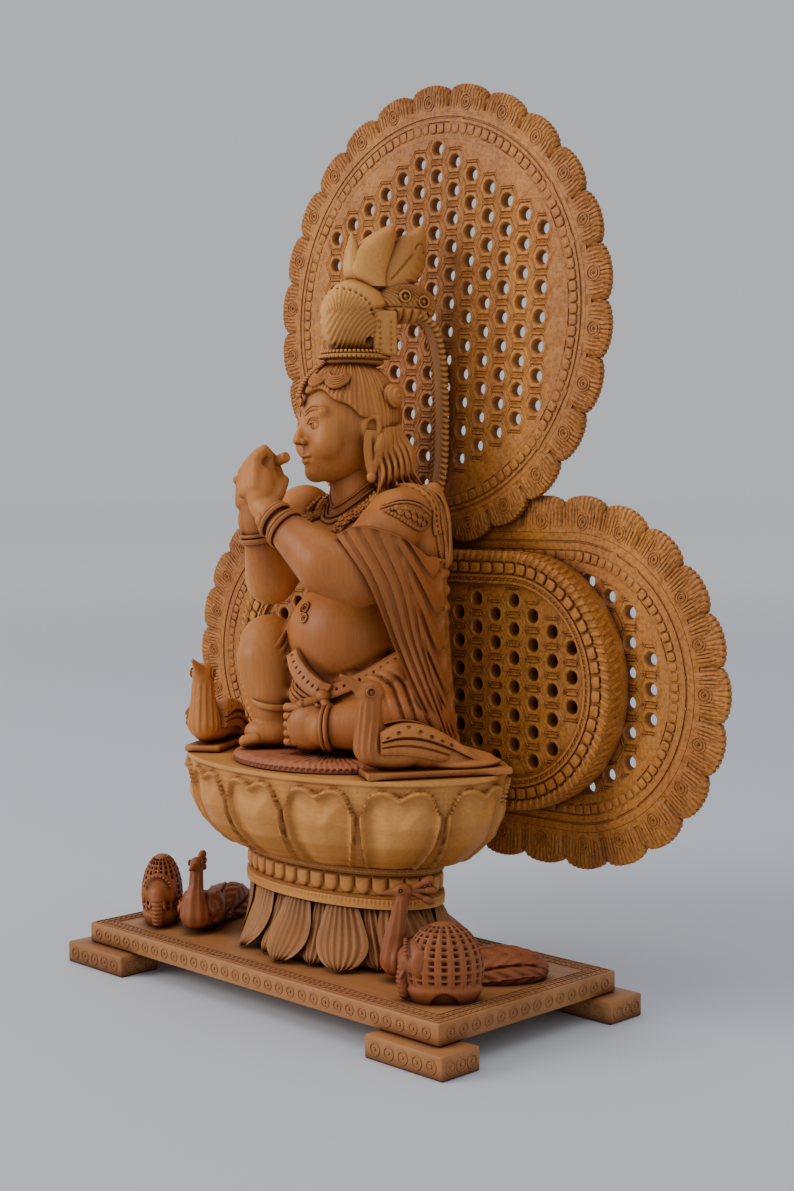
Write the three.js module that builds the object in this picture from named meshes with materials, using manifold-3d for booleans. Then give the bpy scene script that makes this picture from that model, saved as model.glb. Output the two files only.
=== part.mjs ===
// Carved wooden flute player on a lotus seat, in front of three pierced screens,
// standing on a footed plinth with small birds and elephants.
// Millimetres, +Z up. The figure faces -Y and its own left hand is on the +X side.
// The origin is on the floor, under the middle of the whole carving.
import * as THREE from 'three';
import { mergeVertices } from 'three/addons/utils/BufferGeometryUtils.js';
import Module from 'manifold-3d';

const wasm = await Module();
wasm.setup();

// Gap left where one piece rests on another
const seam = 0.3;

// Plinth board and its four corner feet
const boardLength = 216;
const boardDepth = 100;
const boardThickness = 8.4;
const footLength = 40;
const footDepth = 19.5;
const footHeight = 9.1;
const footOverhangX = 8;
const footOverhangY = 6.5;

// Stacked pedestal: half sizes along X and Y of each oval, and heights
const leafFootHeight = 23.6;
const leafFootHalfX = 51.5;
const leafFootHalfY = 39.5;
const leafFootShiftX = 4;
const leafFootShiftY = 4;
const leafFootTopHalfX = 49;
const leafFootTopHalfY = 24;
const leafRelief = 2.6;
const leafCount = 10;
const drumHeight = 17.8;
const drumHalfX = 54;
const drumHalfY = 27;
const drumRim = 1.8;
const seatHeight = 37.2;
const seatHalfX = 82;
const seatHalfY = 50.6;
const seatBottomHalfX = 62;
const seatBottomHalfY = 34;
const petalCount = 12;
const petalRelief = 2.4;
const pedestalMiddleY = 3;
const matThickness = 4;
const matHalfX = 46;
const matHalfY = 40;
const matMiddleX = 4;
const matMiddleY = -3;

// Screens: the back oval, the front oval and the round halo above it
const screenHeight = 130;
const backScreenThickness = 3.5;
const backScreenHalfStraight = 83;
const backScreenRadius = 75.5;
const backScallops = 36;
const backFieldRadius = 45.6;
const frontScreenThickness = 12.7;
const frontScreenHalfStraight = 60;
const frontScreenRadius = 52.5;
const frontFieldRadius = 39.5;
const frontFieldDepth = 2.5;
const haloThickness = 3.5;
const haloRadius = 97.5;
const haloShift = 8;
const haloScallops = 26;
const haloFieldRadius = 75;
const haloLatticeTurn = THREE.MathUtils.degToRad(-4);
const scallopDepth = 4.2;
const holeRadius = 2.6;
const holePitch = 11.8;
const holeEdge = 1.2;

// The figure keeps its pose as shares of its own height, plume included
const figureHeight = 220;
const fluteRadius = 2.3;
const fluteLength = 29;
const fluteClearance = 0.35;

// Small animals, each scaled from its own height
const seatBirdHeight = 38;
const peacockHeight = 34;
const elephantHeight = 30;

// Heights worked out from the stack
const boardBottom = footHeight + seam;
const boardTop = boardBottom + boardThickness;
const leafFootBottom = boardTop + seam;
const drumBottom = leafFootBottom + leafFootHeight + seam;
const seatBottom = drumBottom + drumHeight + seam;
const seatTop = seatBottom + seatHeight;
const matTop = seatTop + seam + matThickness;
const backPlane = boardDepth / 2 + footOverhangY;
const backScreenFront = backPlane - backScreenThickness;
const haloFront = backScreenFront - seam - haloThickness;
const frontScreenBack = backScreenFront - seam;
const frontScreenFront = frontScreenBack - frontScreenThickness;
const frontScreenTop = screenHeight + frontScreenRadius;
const haloHeight = frontScreenTop + haloRadius + 1.5;

const wood = (name, color, roughness) => {
  const material = new THREE.MeshStandardMaterial({ color, roughness, metalness: 0 });
  material.name = name;
  return material;
};
const plinthWood = wood('plinth_wood', 0xa8713f, 0.6);
const seatWood = wood('seat_wood', 0xc08a4c, 0.55);
const screenWood = wood('screen_wood', 0xad7040, 0.6);
const figureWood = wood('figure_wood', 0xb07844, 0.5);
const animalWood = wood('animal_wood', 0x9a5f3a, 0.6);

const carving = new THREE.Group();

function addPiece(name, geometry, material) {
  const mesh = new THREE.Mesh(geometry, material);
  mesh.name = name;
  carving.add(mesh);
  return mesh;
}

// Closed geometry to a solid that can be joined and cut, and back again
function toSolid(geometry) {
  const bare = geometry.clone();
  bare.deleteAttribute('normal');
  bare.deleteAttribute('uv');
  const merged = mergeVertices(bare, 1e-4);
  const mesh = new wasm.Mesh({
    numProp: 3,
    vertProperties: new Float32Array(merged.attributes.position.array),
    triVerts: new Uint32Array(merged.index.array),
  });
  return new wasm.Manifold(mesh);
}

function toGeometry(solid) {
  const mesh = solid.getMesh();
  const geometry = new THREE.BufferGeometry();
  geometry.setAttribute('position', new THREE.BufferAttribute(mesh.vertProperties, 3));
  geometry.setIndex(new THREE.BufferAttribute(mesh.triVerts, 1));
  geometry.computeVertexNormals();
  return geometry;
}

function fuse(geometries) {
  return geometries.map(toSolid).reduce((whole, next) => whole.add(next));
}

// Box from its low corner and its size
function block(x, y, z, dx, dy, dz) {
  return new THREE.BoxGeometry(dx, dy, dz).translate(x + dx / 2, y + dy / 2, z + dz / 2);
}

// Ellipsoid at a point, with its three half sizes and turns in degrees about X, Y and Z
function ball(at, half, turn = [0, 0, 0], across = 8, up = 5) {
  const radians = turn.map(THREE.MathUtils.degToRad);
  return new THREE.SphereGeometry(1, across, up)
    .rotateX(Math.PI / 2)
    .scale(...half)
    .rotateX(radians[0])
    .rotateY(radians[1])
    .rotateZ(radians[2])
    .translate(...at);
}

// Round limb that swells over a blunt end of its own radius at each point
function limb(from, fromRadius, to, toRadius, around = 6) {
  const start = new THREE.Vector3(...from);
  const span = new THREE.Vector3(...to).sub(start);
  const length = span.length();
  const blunt = 0.8;
  const profile = [
    [0, -blunt * fromRadius], [0.6 * fromRadius, -0.6 * fromRadius], [fromRadius, 0],
    [toRadius, length], [0.6 * toRadius, length + 0.6 * toRadius], [0, length + blunt * toRadius],
  ].map(([radius, height]) => new THREE.Vector2(radius, height));
  const up = new THREE.Vector3(0, 1, 0);
  const turn = new THREE.Quaternion().setFromUnitVectors(up, span.normalize());
  return new THREE.LatheGeometry(profile, around).applyQuaternion(turn).translate(...from);
}

// Limbs joined in a row through points given as [x, y, z, radius]
function chain(points, around = 6) {
  return points.slice(1).map((point, i) => {
    const before = points[i];
    return limb(before.slice(0, 3), before[3], point.slice(0, 3), point[3], around);
  });
}

// Angles that part an oval of half sizes a and b into equal lengths of its edge
function evenAngles(a, b, count) {
  const fine = 720;
  const travelled = [0];
  for (let i = 1; i <= fine; i += 1) {
    const angle = ((i - 0.5) / fine) * 2 * Math.PI;
    const step = Math.hypot(a * Math.sin(angle), b * Math.cos(angle));
    travelled.push(travelled[i - 1] + step);
  }
  const angles = [];
  let at = 0;
  for (let k = 0; k < count; k += 1) {
    const goal = (travelled[fine] * k) / count;
    while (travelled[at + 1] < goal) {
      at += 1;
    }
    const share = (goal - travelled[at]) / (travelled[at + 1] - travelled[at]);
    angles.push(((at + share) / fine) * 2 * Math.PI);
  }
  return angles;
}

// Closed oval turning from rows of [half size X, half size Y, height, middle X, middle Y].
// relief(u, row) pushes it outwards at the share u of the way round from the +X end.
function ovalTurning(rows, around, relief) {
  const points = [];
  rows.forEach(([halfX, halfY, height, middleX = 0, middleY = pedestalMiddleY], row) => {
    evenAngles(halfX, halfY, around).forEach((angle, k) => {
      const along = Math.cos(angle);
      const across = Math.sin(angle);
      const push = relief(k / around, row) / Math.hypot(halfY * along, halfX * across);
      points.push(
        middleX + along * (halfX + push * halfY),
        middleY + across * (halfY + push * halfX),
        height,
      );
    });
  });
  const faces = [];
  const top = rows.length - 1;
  for (let k = 0; k < around; k += 1) {
    const next = (k + 1) % around;
    for (let row = 0; row < top; row += 1) {
      const low = row * around;
      const high = low + around;
      faces.push(low + k, low + next, high + next, low + k, high + next, high + k);
    }
    faces.push(rows.length * around, next, k);
    faces.push(rows.length * around + 1, top * around + k, top * around + next);
  }
  for (const row of [rows[0], rows[top]]) {
    const [, , height, middleX = 0, middleY = pedestalMiddleY] = row;
    points.push(middleX, middleY, height);
  }
  const geometry = new THREE.BufferGeometry();
  geometry.setAttribute('position', new THREE.Float32BufferAttribute(points, 3));
  geometry.setIndex(faces);
  return geometry;
}

// Outline of a scalloped or plain oval with straight middle, drawn in X and Z
function screenOutline(halfStraight, radius, lobes, depth, pointsPerLobe) {
  const straight = 2 * halfStraight;
  const bend = Math.PI * radius;
  const total = 2 * (straight + bend);
  const points = [];
  const count = lobes * pointsPerLobe;
  for (let i = 0; i < count; i += 1) {
    const lobe = (i % pointsPerLobe) / pointsPerLobe;
    const drop = depth * (1 - Math.sqrt(Math.max(0, 1 - (2 * lobe - 1) ** 2)));
    const reach = radius - drop;
    // Lobes start half a lobe on, so that one is centred on the top
    let along = (total * (i - pointsPerLobe / 2)) / count;
    along = (along + halfStraight + total) % total;
    let x;
    let z;
    if (along < straight) {
      x = halfStraight - along;
      z = reach;
    } else if (along < straight + bend) {
      const angle = Math.PI / 2 + (along - straight) / radius;
      x = -halfStraight + reach * Math.cos(angle);
      z = reach * Math.sin(angle);
    } else if (along < 2 * straight + bend) {
      x = -halfStraight + (along - straight - bend);
      z = -reach;
    } else {
      const angle = -Math.PI / 2 + (along - 2 * straight - bend) / radius;
      x = halfStraight + reach * Math.cos(angle);
      z = reach * Math.sin(angle);
    }
    points.push(new THREE.Vector2(x, z));
  }
  return points;
}

// Distance from a point to the middle line of a screen
function offMiddle(x, z, halfStraight) {
  return Math.hypot(Math.max(0, Math.abs(x) - halfStraight), z);
}

// Centres of the drilled lattice, rows staggered, kept where inside(x, z) holds
function lattice(reachX, reachZ, turn, inside) {
  const columnStep = holePitch * Math.cos(Math.PI / 6);
  const columns = Math.ceil(reachX / columnStep) + 2;
  const rows = Math.ceil(reachZ / holePitch) + 2;
  const centres = [];
  for (let c = -columns; c <= columns; c += 1) {
    for (let r = -rows; r <= rows; r += 1) {
      const flatX = c * columnStep;
      const flatZ = (r + (Math.abs(c) % 2) / 2) * holePitch;
      const x = flatX * Math.cos(turn) - flatZ * Math.sin(turn);
      const z = flatX * Math.sin(turn) + flatZ * Math.cos(turn);
      if (inside(x, z)) {
        centres.push(new THREE.Vector2(x, z));
      }
    }
  }
  return centres;
}

// Plate standing in the XZ plane, with four-sided holes, its front face at y = front
function plate(outline, holes, front, thickness, middleX, middleZ) {
  const shape = new THREE.Shape(outline);
  holes.forEach((centre) => {
    const hole = new THREE.Path();
    const corners = [0, 1, 2, 3].map((k) => {
      const angle = (-Math.PI / 2) * k;
      const corner = new THREE.Vector2(Math.cos(angle), Math.sin(angle));
      return corner.multiplyScalar(holeRadius * 1.12).add(centre);
    });
    hole.setFromPoints(corners);
    hole.closePath();
    shape.holes.push(hole);
  });
  return new THREE.ExtrudeGeometry(shape, { depth: thickness, bevelEnabled: false })
    .rotateX(Math.PI / 2)
    .translate(middleX, front + thickness, middleZ);
}

// Plinth board and feet
addPiece(
  'plinth_board',
  block(-boardLength / 2, -boardDepth / 2, boardBottom, boardLength, boardDepth, boardThickness),
  plinthWood,
);
for (const [endName, sideY] of [['front', -1], ['back', 1]]) {
  for (const [sideName, sideX] of [['left', -1], ['right', 1]]) {
    const middleX = sideX * (boardLength / 2 + footOverhangX - footLength / 2);
    const middleY = sideY * (boardDepth / 2 + footOverhangY - footDepth / 2);
    const foot = block(
      middleX - footLength / 2,
      middleY - footDepth / 2,
      0,
      footLength,
      footDepth,
      footHeight,
    );
    addPiece(`plinth_foot_${endName}_${sideName}`, foot, plinthWood);
  }
}

// Down-turned lotus leaves that spread from under the drum, one centred on the front
function leafFoot() {
  const mix = THREE.MathUtils.lerp;
  // Spread of each row between the top (0) and the widest place (1), with its height share
  const spread = [[0.9, 0], [1, 0.12], [0.72, 0.38], [0.3, 0.68], [0, 1]];
  const rows = spread.map(([out, up]) => [
    mix(leafFootTopHalfX, leafFootHalfX, out),
    mix(leafFootTopHalfY, leafFootHalfY, out),
    leafFootBottom + up * leafFootHeight,
    out * leafFootShiftX,
    pedestalMiddleY + out * leafFootShiftY,
  ]);
  return ovalTurning(rows, leafCount * 4, (u, row) => {
    const phase = (u - 0.75) * leafCount * 2 * Math.PI;
    return leafRelief * spread[row][0] * Math.cos(phase);
  });
}
addPiece('lotus_foot', leafFoot(), seatWood);

// Drum with a rim above and below its tiled waist
function drum() {
  const z = drumBottom;
  const h = drumHeight;
  const rim = 0.27 * h;
  const step = 0.6;
  const rows = [
    [0.6, z], [0, z + 0.06 * h], [0, z + rim], [drumRim, z + rim + step],
    [drumRim, z + h - rim - step], [0, z + h - rim], [0, z + h],
  ].map(([inset, height]) => [drumHalfX - inset, drumHalfY - inset, height]);
  return ovalTurning(rows, 24, () => 0);
}
addPiece('drum_band', drum(), seatWood);

// Lotus seat: rounded petals around a bowl, cut flat where the screens stand
function lotusSeat() {
  const mix = THREE.MathUtils.lerp;
  // Spread of each row between the bottom (0) and the top (1), height share, petal swell
  const spread = [
    [0, 0, 0.3], [0.32, 0.1, 0.6], [0.66, 0.28, 0.9], [0.86, 0.5, 1],
    [0.95, 0.74, 0.8], [1, 0.9, 0.2], [1, 1, 0.2],
  ];
  const rows = spread.map(([out, up]) => [
    mix(seatBottomHalfX, seatHalfX, out),
    mix(seatBottomHalfY, seatHalfY, out),
    seatBottom + up * seatHeight,
  ]);
  const bowl = ovalTurning(rows, petalCount * 4, (u, row) => {
    const border = Math.abs((((u - 0.75) * petalCount + petalCount + 0.5) % 1) - 0.5) * 2;
    return petalRelief * spread[row][2] * Math.sqrt(1 - border ** 4);
  });
  const behind = block(
    -seatHalfX - 10,
    frontScreenFront - seam,
    seatBottom - 5,
    2 * seatHalfX + 20,
    seatHalfY,
    seatHeight + 10,
  );
  return toGeometry(toSolid(bowl).subtract(toSolid(behind)));
}
addPiece('lotus_seat', lotusSeat(), seatWood);

function seatMat() {
  const z = seatTop + seam;
  const rows = [[0, 0], [1, 0.6], [4, 1]].map(([inset, up]) => [
    matHalfX - inset,
    matHalfY - inset,
    z + up * matThickness,
    matMiddleX,
    matMiddleY,
  ]);
  return ovalTurning(rows, 20, () => 0);
}
addPiece('seat_mat', seatMat(), animalWood);

// Back oval screen: pierced only where its field shows past the front one
function backScreen() {
  const outline = screenOutline(
    backScreenHalfStraight,
    backScreenRadius,
    backScallops,
    scallopDepth,
    4,
  );
  const holes = lattice(backScreenHalfStraight + backFieldRadius, backFieldRadius, 0, (x, z) => {
    const inField = offMiddle(x, z, backScreenHalfStraight) < backFieldRadius - holeRadius;
    const inFront = offMiddle(x, z, frontScreenHalfStraight) < frontScreenRadius + holeRadius;
    return inField && !inFront;
  });
  return plate(outline, holes, backScreenFront, backScreenThickness, 0, screenHeight);
}
addPiece('back_screen', backScreen(), screenWood);

// Front oval screen: a thick plate with its drilled field sunk inside a raised border
function frontScreen() {
  const outline = screenOutline(frontScreenHalfStraight, frontScreenRadius, 20, 0, 2);
  const body = plate(outline, [], frontScreenFront, frontScreenThickness, 0, screenHeight);
  const field = screenOutline(frontScreenHalfStraight, frontFieldRadius, 16, 0, 2);
  const sunk = plate(field, [], frontScreenFront - 5, frontFieldDepth + 5, 0, screenHeight);
  return toGeometry(toSolid(body).subtract(toSolid(sunk)));
}
addPiece('front_screen', frontScreen(), screenWood);

// Round halo screen above, drilled all over its field
function haloScreen() {
  const outline = screenOutline(0, haloRadius, haloScallops, scallopDepth, 4);
  const fieldReach = haloFieldRadius - holeRadius - holeEdge;
  const holes = lattice(haloFieldRadius, haloFieldRadius, haloLatticeTurn, (x, z) =>
    Math.hypot(x, z) < fieldReach);
  return plate(outline, holes, haloFront, haloThickness, haloShift, haloHeight);
}
addPiece('halo_screen', haloScreen(), screenWood);

// The figure: points are in shares of its height, 220 to the whole, from the seat up
const unit = figureHeight / 220;
const p = (x, y, z) => [x * unit, y * unit, matTop + seam + z * unit];
const s = (...sizes) => sizes.map((size) => size * unit);
const pr = (x, y, z, radius) => [...p(x, y, z), radius * unit];

// Flute from beside the mouth, across both hands, to the figure's right
const fluteNear = new THREE.Vector3(...p(-5, -24, 119));
const fluteWay = new THREE.Vector3(-26, -1, -8).normalize();

function fluteRod(radius, extra) {
  const length = fluteLength + 2 * extra;
  const middle = fluteNear.clone().addScaledVector(fluteWay, fluteLength / 2);
  const turn = new THREE.Quaternion().setFromUnitVectors(new THREE.Vector3(0, 1, 0), fluteWay);
  return new THREE.CylinderGeometry(radius, radius, length, 8)
    .applyQuaternion(turn)
    .translate(middle.x, middle.y, middle.z);
}

function torso() {
  return [
    ball(p(6, 13, 16), s(34, 22, 17), [0, 0, 0], 8, 5),
    ball(p(3, 3, 48), s(25, 22, 22), [0, 0, 0], 10, 7),
    ball(p(4, 10, 82), s(30, 18, 23), [0, 0, 0], 10, 6),
    limb(p(4, 10, 98), 11 * unit, p(2, 8, 114), 9 * unit),
  ];
}

function legs() {
  return [
    // Right leg: thigh up to the raised knee, full calf, foot flat
    limb(p(-12, 10, 18), 15 * unit, p(-27, -14, 44), 12.5 * unit),
    limb(p(-25, -14.5, 34), 13 * unit, p(-18, -17, 12), 8 * unit),
    ball(p(-20, -20, 7), s(12, 8, 7), [0, 0, 42], 6, 4),
    // Left leg folded flat: thigh out to the knee, shin back across the front
    ...chain([pr(20, 16, 18, 17), pr(42, 6, 15, 14), pr(20, -19, 11, 8)]),
    ball(p(8, -24, 10), s(10, 8, 10), [0, 0, 15], 6, 4),
  ];
}

function arms() {
  return [
    // Left arm: shoulder, elbow, wrist and hand
    ...chain([pr(32, 6, 94, 14), pr(33, -18, 74, 14), pr(22, -27, 78, 12), pr(2, -30, 93, 7)]),
    ball(p(-5, -30, 105), s(9, 7, 16), [0, 6, 20], 6, 5),
    // Right arm, farther from the seat's middle
    ...chain([pr(-27, 8, 96, 13), pr(-29, -11, 64, 11), pr(-23, -20, 86, 7)]),
    ball(p(-24, -25, 101), s(8, 7, 15), [0, 6, 20], 6, 5),
  ];
}

function headAndCrown() {
  return [
    ball(p(1, 6, 133), s(20, 22, 26), [0, 0, -15], 10, 7),
    // Hair falling behind the left ear, and the coil at the side of the head
    limb(p(18, 20, 130), 6 * unit, p(26, 23, 108), 9 * unit),
    ball(p(15, 21, 146), s(7, 8, 8), [0, 0, 0], 6, 4),
    // Hair knot in its band, and the feather that curls to the side on its post
    ball(p(4, 12, 172), s(14, 15, 18), [0, 8, 0]),
    ball(p(16, 22, 185), s(12, 8, 7), [0, -12, 35]),
    limb(p(13, 19, 182), 4 * unit, p(12, 17, 160), 4 * unit, 5),
    // Upright petals of the plume
    ball(p(3, 14, 202), s(9, 6, 15), [0, -14, 45], 6, 5),
    ball(p(8, 21, 203), s(9, 7, 16), [0, 0, 45], 6, 5),
    ball(p(15, 29, 202), s(9, 6, 15), [0, 14, 45], 6, 5),
  ];
}

function hangings() {
  return [
    // Ribbon that arches from the crown down to the shoulders
    ...chain([
      pr(17, 24, 182, 2.6), pr(18, 38, 174, 2.6), pr(19.5, 45, 158, 2.6),
      pr(20, 45.5, 118, 2.6), pr(22, 33, 94, 3),
    ], 4),
    // Shawl over the left shoulder and down the back
    ball(p(31, 10, 97), s(14, 14, 12), [0, 20, 0]),
    limb(p(32, 15, 92), 12 * unit, p(32, 20, 10), 11 * unit),
    block(...p(-18, 22, 4), ...s(38, 14, 92)),
    // Gathered cloth between the legs
    ball(p(0, -8, 8), s(14, 14, 8), [0, 0, 0], 6, 4),
  ];
}

function figure() {
  const floor = block(-200, -200, matTop + seam - 100, 400, 400, 100);
  const behind = block(-200, frontScreenFront - seam, matTop - 5, 400, 100, frontScreenTop - matTop + 5);
  const haloSpace = block(-200, haloFront - seam, matTop, 400, 100, 400);
  return toGeometry(
    fuse([...torso(), ...legs(), ...arms(), ...headAndCrown(), ...hangings()])
      .subtract(toSolid(floor))
      .subtract(toSolid(behind))
      .subtract(toSolid(haloSpace))
      .subtract(toSolid(fluteRod(fluteRadius + fluteClearance, 6))),
  );
}
addPiece('krishna_figure', figure(), figureWood);
addPiece('flute', fluteRod(fluteRadius, 0), figureWood);

// What lies below the ground of a small animal, taken off to give it a flat underside
function belowGround(reach) {
  return toSolid(block(-reach, -reach, -reach, 2 * reach, 2 * reach, reach));
}

// Bird on its strip, facing -Y before it is turned and placed
function seatBird() {
  const u = seatBirdHeight / 38;
  const parts = [
    block(-8 * u, -10 * u, 0, 16 * u, 58 * u, 3.2 * u),
    ball([0, 7 * u, 11 * u], [9 * u, 19 * u, 10 * u], [8, 0, 0], 8, 5),
    limb([0, -6 * u, 13 * u], 7.5 * u, [0, -7 * u, 28 * u], 4 * u, 6),
    ball([0, -6 * u, 33 * u], [4.4 * u, 5.5 * u, 5 * u], [0, 0, 0], 6, 4),
    limb([0, -9 * u, 33.5 * u], 2.2 * u, [0, -15 * u, 37 * u], 0.7 * u, 4),
    limb([0, 16 * u, 9 * u], 7 * u, [0, 44 * u, 3 * u], 3.6 * u, 6),
  ];
  return toGeometry(fuse(parts).subtract(belowGround(80 * u)));
}

// Peacock with a neck that leans back, a crest and a leafy tail laid on the board
function peacock() {
  const u = peacockHeight / 34;
  const crest = [-10, 35].map((tilt) => {
    const rise = THREE.MathUtils.degToRad(tilt);
    const tip = [0, (4 + 9 * Math.cos(rise)) * u, (30 + 9 * Math.sin(rise)) * u];
    return limb([0, 4 * u, 30 * u], 1.6 * u, tip, 1.8 * u, 4);
  });
  const parts = [
    ball([0, 6 * u, 7 * u], [8 * u, 13 * u, 9 * u], [0, 0, 0], 8, 5),
    ...chain([[0, -4 * u, 6 * u, 6 * u], [0, -3 * u, 16 * u, 3.8 * u], [0, 3 * u, 29 * u, 3.2 * u]], 6),
    limb([0, 2 * u, 30 * u], 2.2 * u, [0, -5 * u, 29 * u], 0.8 * u, 4),
    ...crest,
    ball([0, 36 * u, 4 * u], [11 * u, 20 * u, 9 * u], [0, 0, 0], 8, 5),
  ];
  return toGeometry(fuse(parts).subtract(belowGround(80 * u)));
}

// Elephant under a netted blanket: a dome on short legs, with a trunk at -Y
function elephant() {
  const u = elephantHeight / 30;
  const parts = [
    ball([0, 1 * u, 12 * u], [9 * u, 15 * u, 18 * u], [0, 0, 0], 8, 6),
    limb([0, -11 * u, 13 * u], 4 * u, [0, -14.5 * u, 2 * u], 2.6 * u, 5),
  ];
  const legGap = new THREE.CylinderGeometry(3.2 * u, 3.2 * u, 60 * u, 6)
    .rotateZ(Math.PI / 2)
    .translate(0, 2.5 * u, 1.5 * u);
  return toGeometry(fuse(parts).subtract(belowGround(80 * u)).subtract(toSolid(legGap)));
}

function placePair(name, geometry, material, spots) {
  for (const [sideName, x, y, z, turn] of spots) {
    const mesh = addPiece(`${name}_${sideName}`, geometry.clone(), material);
    mesh.position.set(x, y, z);
    mesh.rotation.z = THREE.MathUtils.degToRad(turn);
  }
}

placePair('seat_bird', seatBird(), figureWood, [
  ['left', -55, -23, seatTop + seam, 30],
  ['right', 55, -23, seatTop + seam, -30],
]);
placePair('peacock', peacock(), animalWood, [
  ['left', -60, -27, boardTop + seam, 32],
  ['right', 59, -18, boardTop + seam, -42],
]);
placePair('elephant', elephant(), animalWood, [
  ['left', -86, -27, boardTop + seam, 45],
  ['right', 88, -28, boardTop + seam, -45],
]);

export default carving;
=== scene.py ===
import math

import bpy
import numpy as np
from mathutils import Matrix, Vector


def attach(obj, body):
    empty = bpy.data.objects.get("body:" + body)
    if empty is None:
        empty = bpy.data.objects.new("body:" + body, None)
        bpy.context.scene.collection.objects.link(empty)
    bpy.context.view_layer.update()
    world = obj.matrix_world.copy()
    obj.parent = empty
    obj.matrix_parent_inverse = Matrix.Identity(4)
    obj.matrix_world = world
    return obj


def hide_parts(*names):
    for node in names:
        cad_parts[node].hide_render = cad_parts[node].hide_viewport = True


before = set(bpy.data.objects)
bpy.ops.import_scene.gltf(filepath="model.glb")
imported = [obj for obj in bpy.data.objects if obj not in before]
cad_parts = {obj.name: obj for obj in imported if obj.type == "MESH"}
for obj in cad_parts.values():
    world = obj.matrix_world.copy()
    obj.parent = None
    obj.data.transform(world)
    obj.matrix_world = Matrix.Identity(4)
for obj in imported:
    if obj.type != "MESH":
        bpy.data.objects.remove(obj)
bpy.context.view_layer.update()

# Carved wooden flute player on a lotus seat, before pierced screens, on a footed plinth.
# Lengths in this script are in millimetres until a mesh is made; the figure faces -Y.
MM = 0.001
TURN = 2 * math.pi


# Picking, joining and finishing pieces

def deselect():
    if bpy.context.mode != "OBJECT":
        bpy.ops.object.mode_set(mode="OBJECT")
    bpy.ops.object.select_all(action="DESELECT")


def pick(*pieces):
    deselect()
    for piece in pieces:
        piece.select_set(True)
    bpy.context.view_layer.objects.active = pieces[0]


def open_edit(piece):
    """Edit mode with the whole mesh selected."""
    pick(piece)
    bpy.ops.object.mode_set(mode="EDIT")
    bpy.ops.mesh.select_all(action="SELECT")


def settle(piece):
    """Place, turn and size go into the mesh."""
    pick(piece)
    bpy.ops.object.transform_apply(location=True, rotation=True, scale=True)
    return piece


def heal(piece, gap=0.005):
    """Doubled points become one, and faces point outwards."""
    open_edit(piece)
    bpy.ops.mesh.remove_doubles(threshold=gap * MM)
    bpy.ops.mesh.normals_make_consistent(inside=False)
    bpy.ops.object.mode_set(mode="OBJECT")
    return piece


def join(name, pieces):
    """Pieces become one object with a name."""
    pick(*pieces)
    if len(pieces) > 1:
        bpy.ops.object.join()
    piece = bpy.context.object
    piece.name = name
    return piece


def modify(piece, kind, **settings):
    """A modifier is added with its settings and applied."""
    pick(piece)
    modifier = piece.modifiers.new(kind.lower(), kind)
    for key, value in settings.items():
        setattr(modifier, key, value)
    bpy.ops.object.modifier_apply(modifier=modifier.name)
    return piece


def points_of(piece):
    """Points of a mesh in millimetres, one row each."""
    flat = np.zeros(len(piece.data.vertices) * 3, np.float32)
    piece.data.vertices.foreach_get("co", flat)
    return flat.reshape(-1, 3).astype(float) / MM


def move_points(piece, points):
    """Points in millimetres go back into their mesh."""
    piece.data.vertices.foreach_set("co", (points * MM).astype(np.float32).ravel())
    piece.data.update()
    return piece


def copies(name, master, places):
    """One joined piece of copies of a small master, which is then removed."""
    made = []
    for place in places:
        one = master.copy()
        one.data = master.data.copy()
        bpy.context.collection.objects.link(one)
        one.matrix_world = place
        made.append(one)
    bpy.data.objects.remove(master)
    return settle(join(name, made))


def at(x, y, z, turn_x=0.0, turn_y=0.0, turn_z=0.0, size=(1, 1, 1)):
    """Place of a copy: millimetres, degrees and scale."""
    turn = (
        Matrix.Rotation(math.radians(turn_z), 4, "Z")
        @ Matrix.Rotation(math.radians(turn_y), 4, "Y")
        @ Matrix.Rotation(math.radians(turn_x), 4, "X")
    )
    scale = Matrix.Diagonal((*size, 1))
    return Matrix.Translation(Vector((x, y, z)) * MM) @ turn @ scale


def ball(x, y, z, half, turn=(0, 0, 0), across=24, up=14):
    """Ellipsoid with three half sizes, turned in degrees about X, Y and Z."""
    deselect()
    bpy.ops.mesh.primitive_uv_sphere_add(segments=across, ring_count=up, radius=MM)
    piece = bpy.context.object
    piece.matrix_world = at(x, y, z, *turn, size=half)
    return settle(piece)


def rod(points, radii, around):
    """Round bar swept through points by a curve with its own radius at each point."""
    curve = bpy.data.curves.new("rod", "CURVE")
    curve.dimensions = "3D"
    curve.use_fill_caps = True
    curve.bevel_depth = MM
    curve.bevel_resolution = max(0, around // 4 - 1)
    curve.resolution_u = 4
    spline = curve.splines.new("NURBS")
    spline.points.add(len(points) - 1)
    for spot, point, radius in zip(spline.points, points, radii):
        spot.co = (*[value * MM for value in point], 1)
        spot.radius = radius
    spline.use_endpoint_u = True
    spline.order_u = min(4, len(points))
    piece = bpy.data.objects.new("rod", curve)
    bpy.context.collection.objects.link(piece)
    pick(piece)
    bpy.ops.object.convert(target="MESH")
    return heal(bpy.context.object, 0.01)


def bent_sheet(name, columns, rows, place):
    """A flat grid whose points go to place(u, v), with u and v from 0 to 1."""
    deselect()
    bpy.ops.mesh.primitive_grid_add(x_subdivisions=columns, y_subdivisions=rows, size=1)
    piece = bpy.context.object
    piece.name = name
    flat = points_of(piece) * MM
    flat = np.clip(flat[:, :2] + 0.5, 0, 1)
    move_points(piece, place(flat[:, 0], flat[:, 1]))
    return heal(piece)


def smooth(piece, degrees):
    pick(piece)
    bpy.ops.object.shade_smooth_by_angle(angle=math.radians(degrees))
    return piece


def ease(value):
    value = np.clip(value, 0, 1)
    return value * value * (3 - 2 * value)


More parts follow.
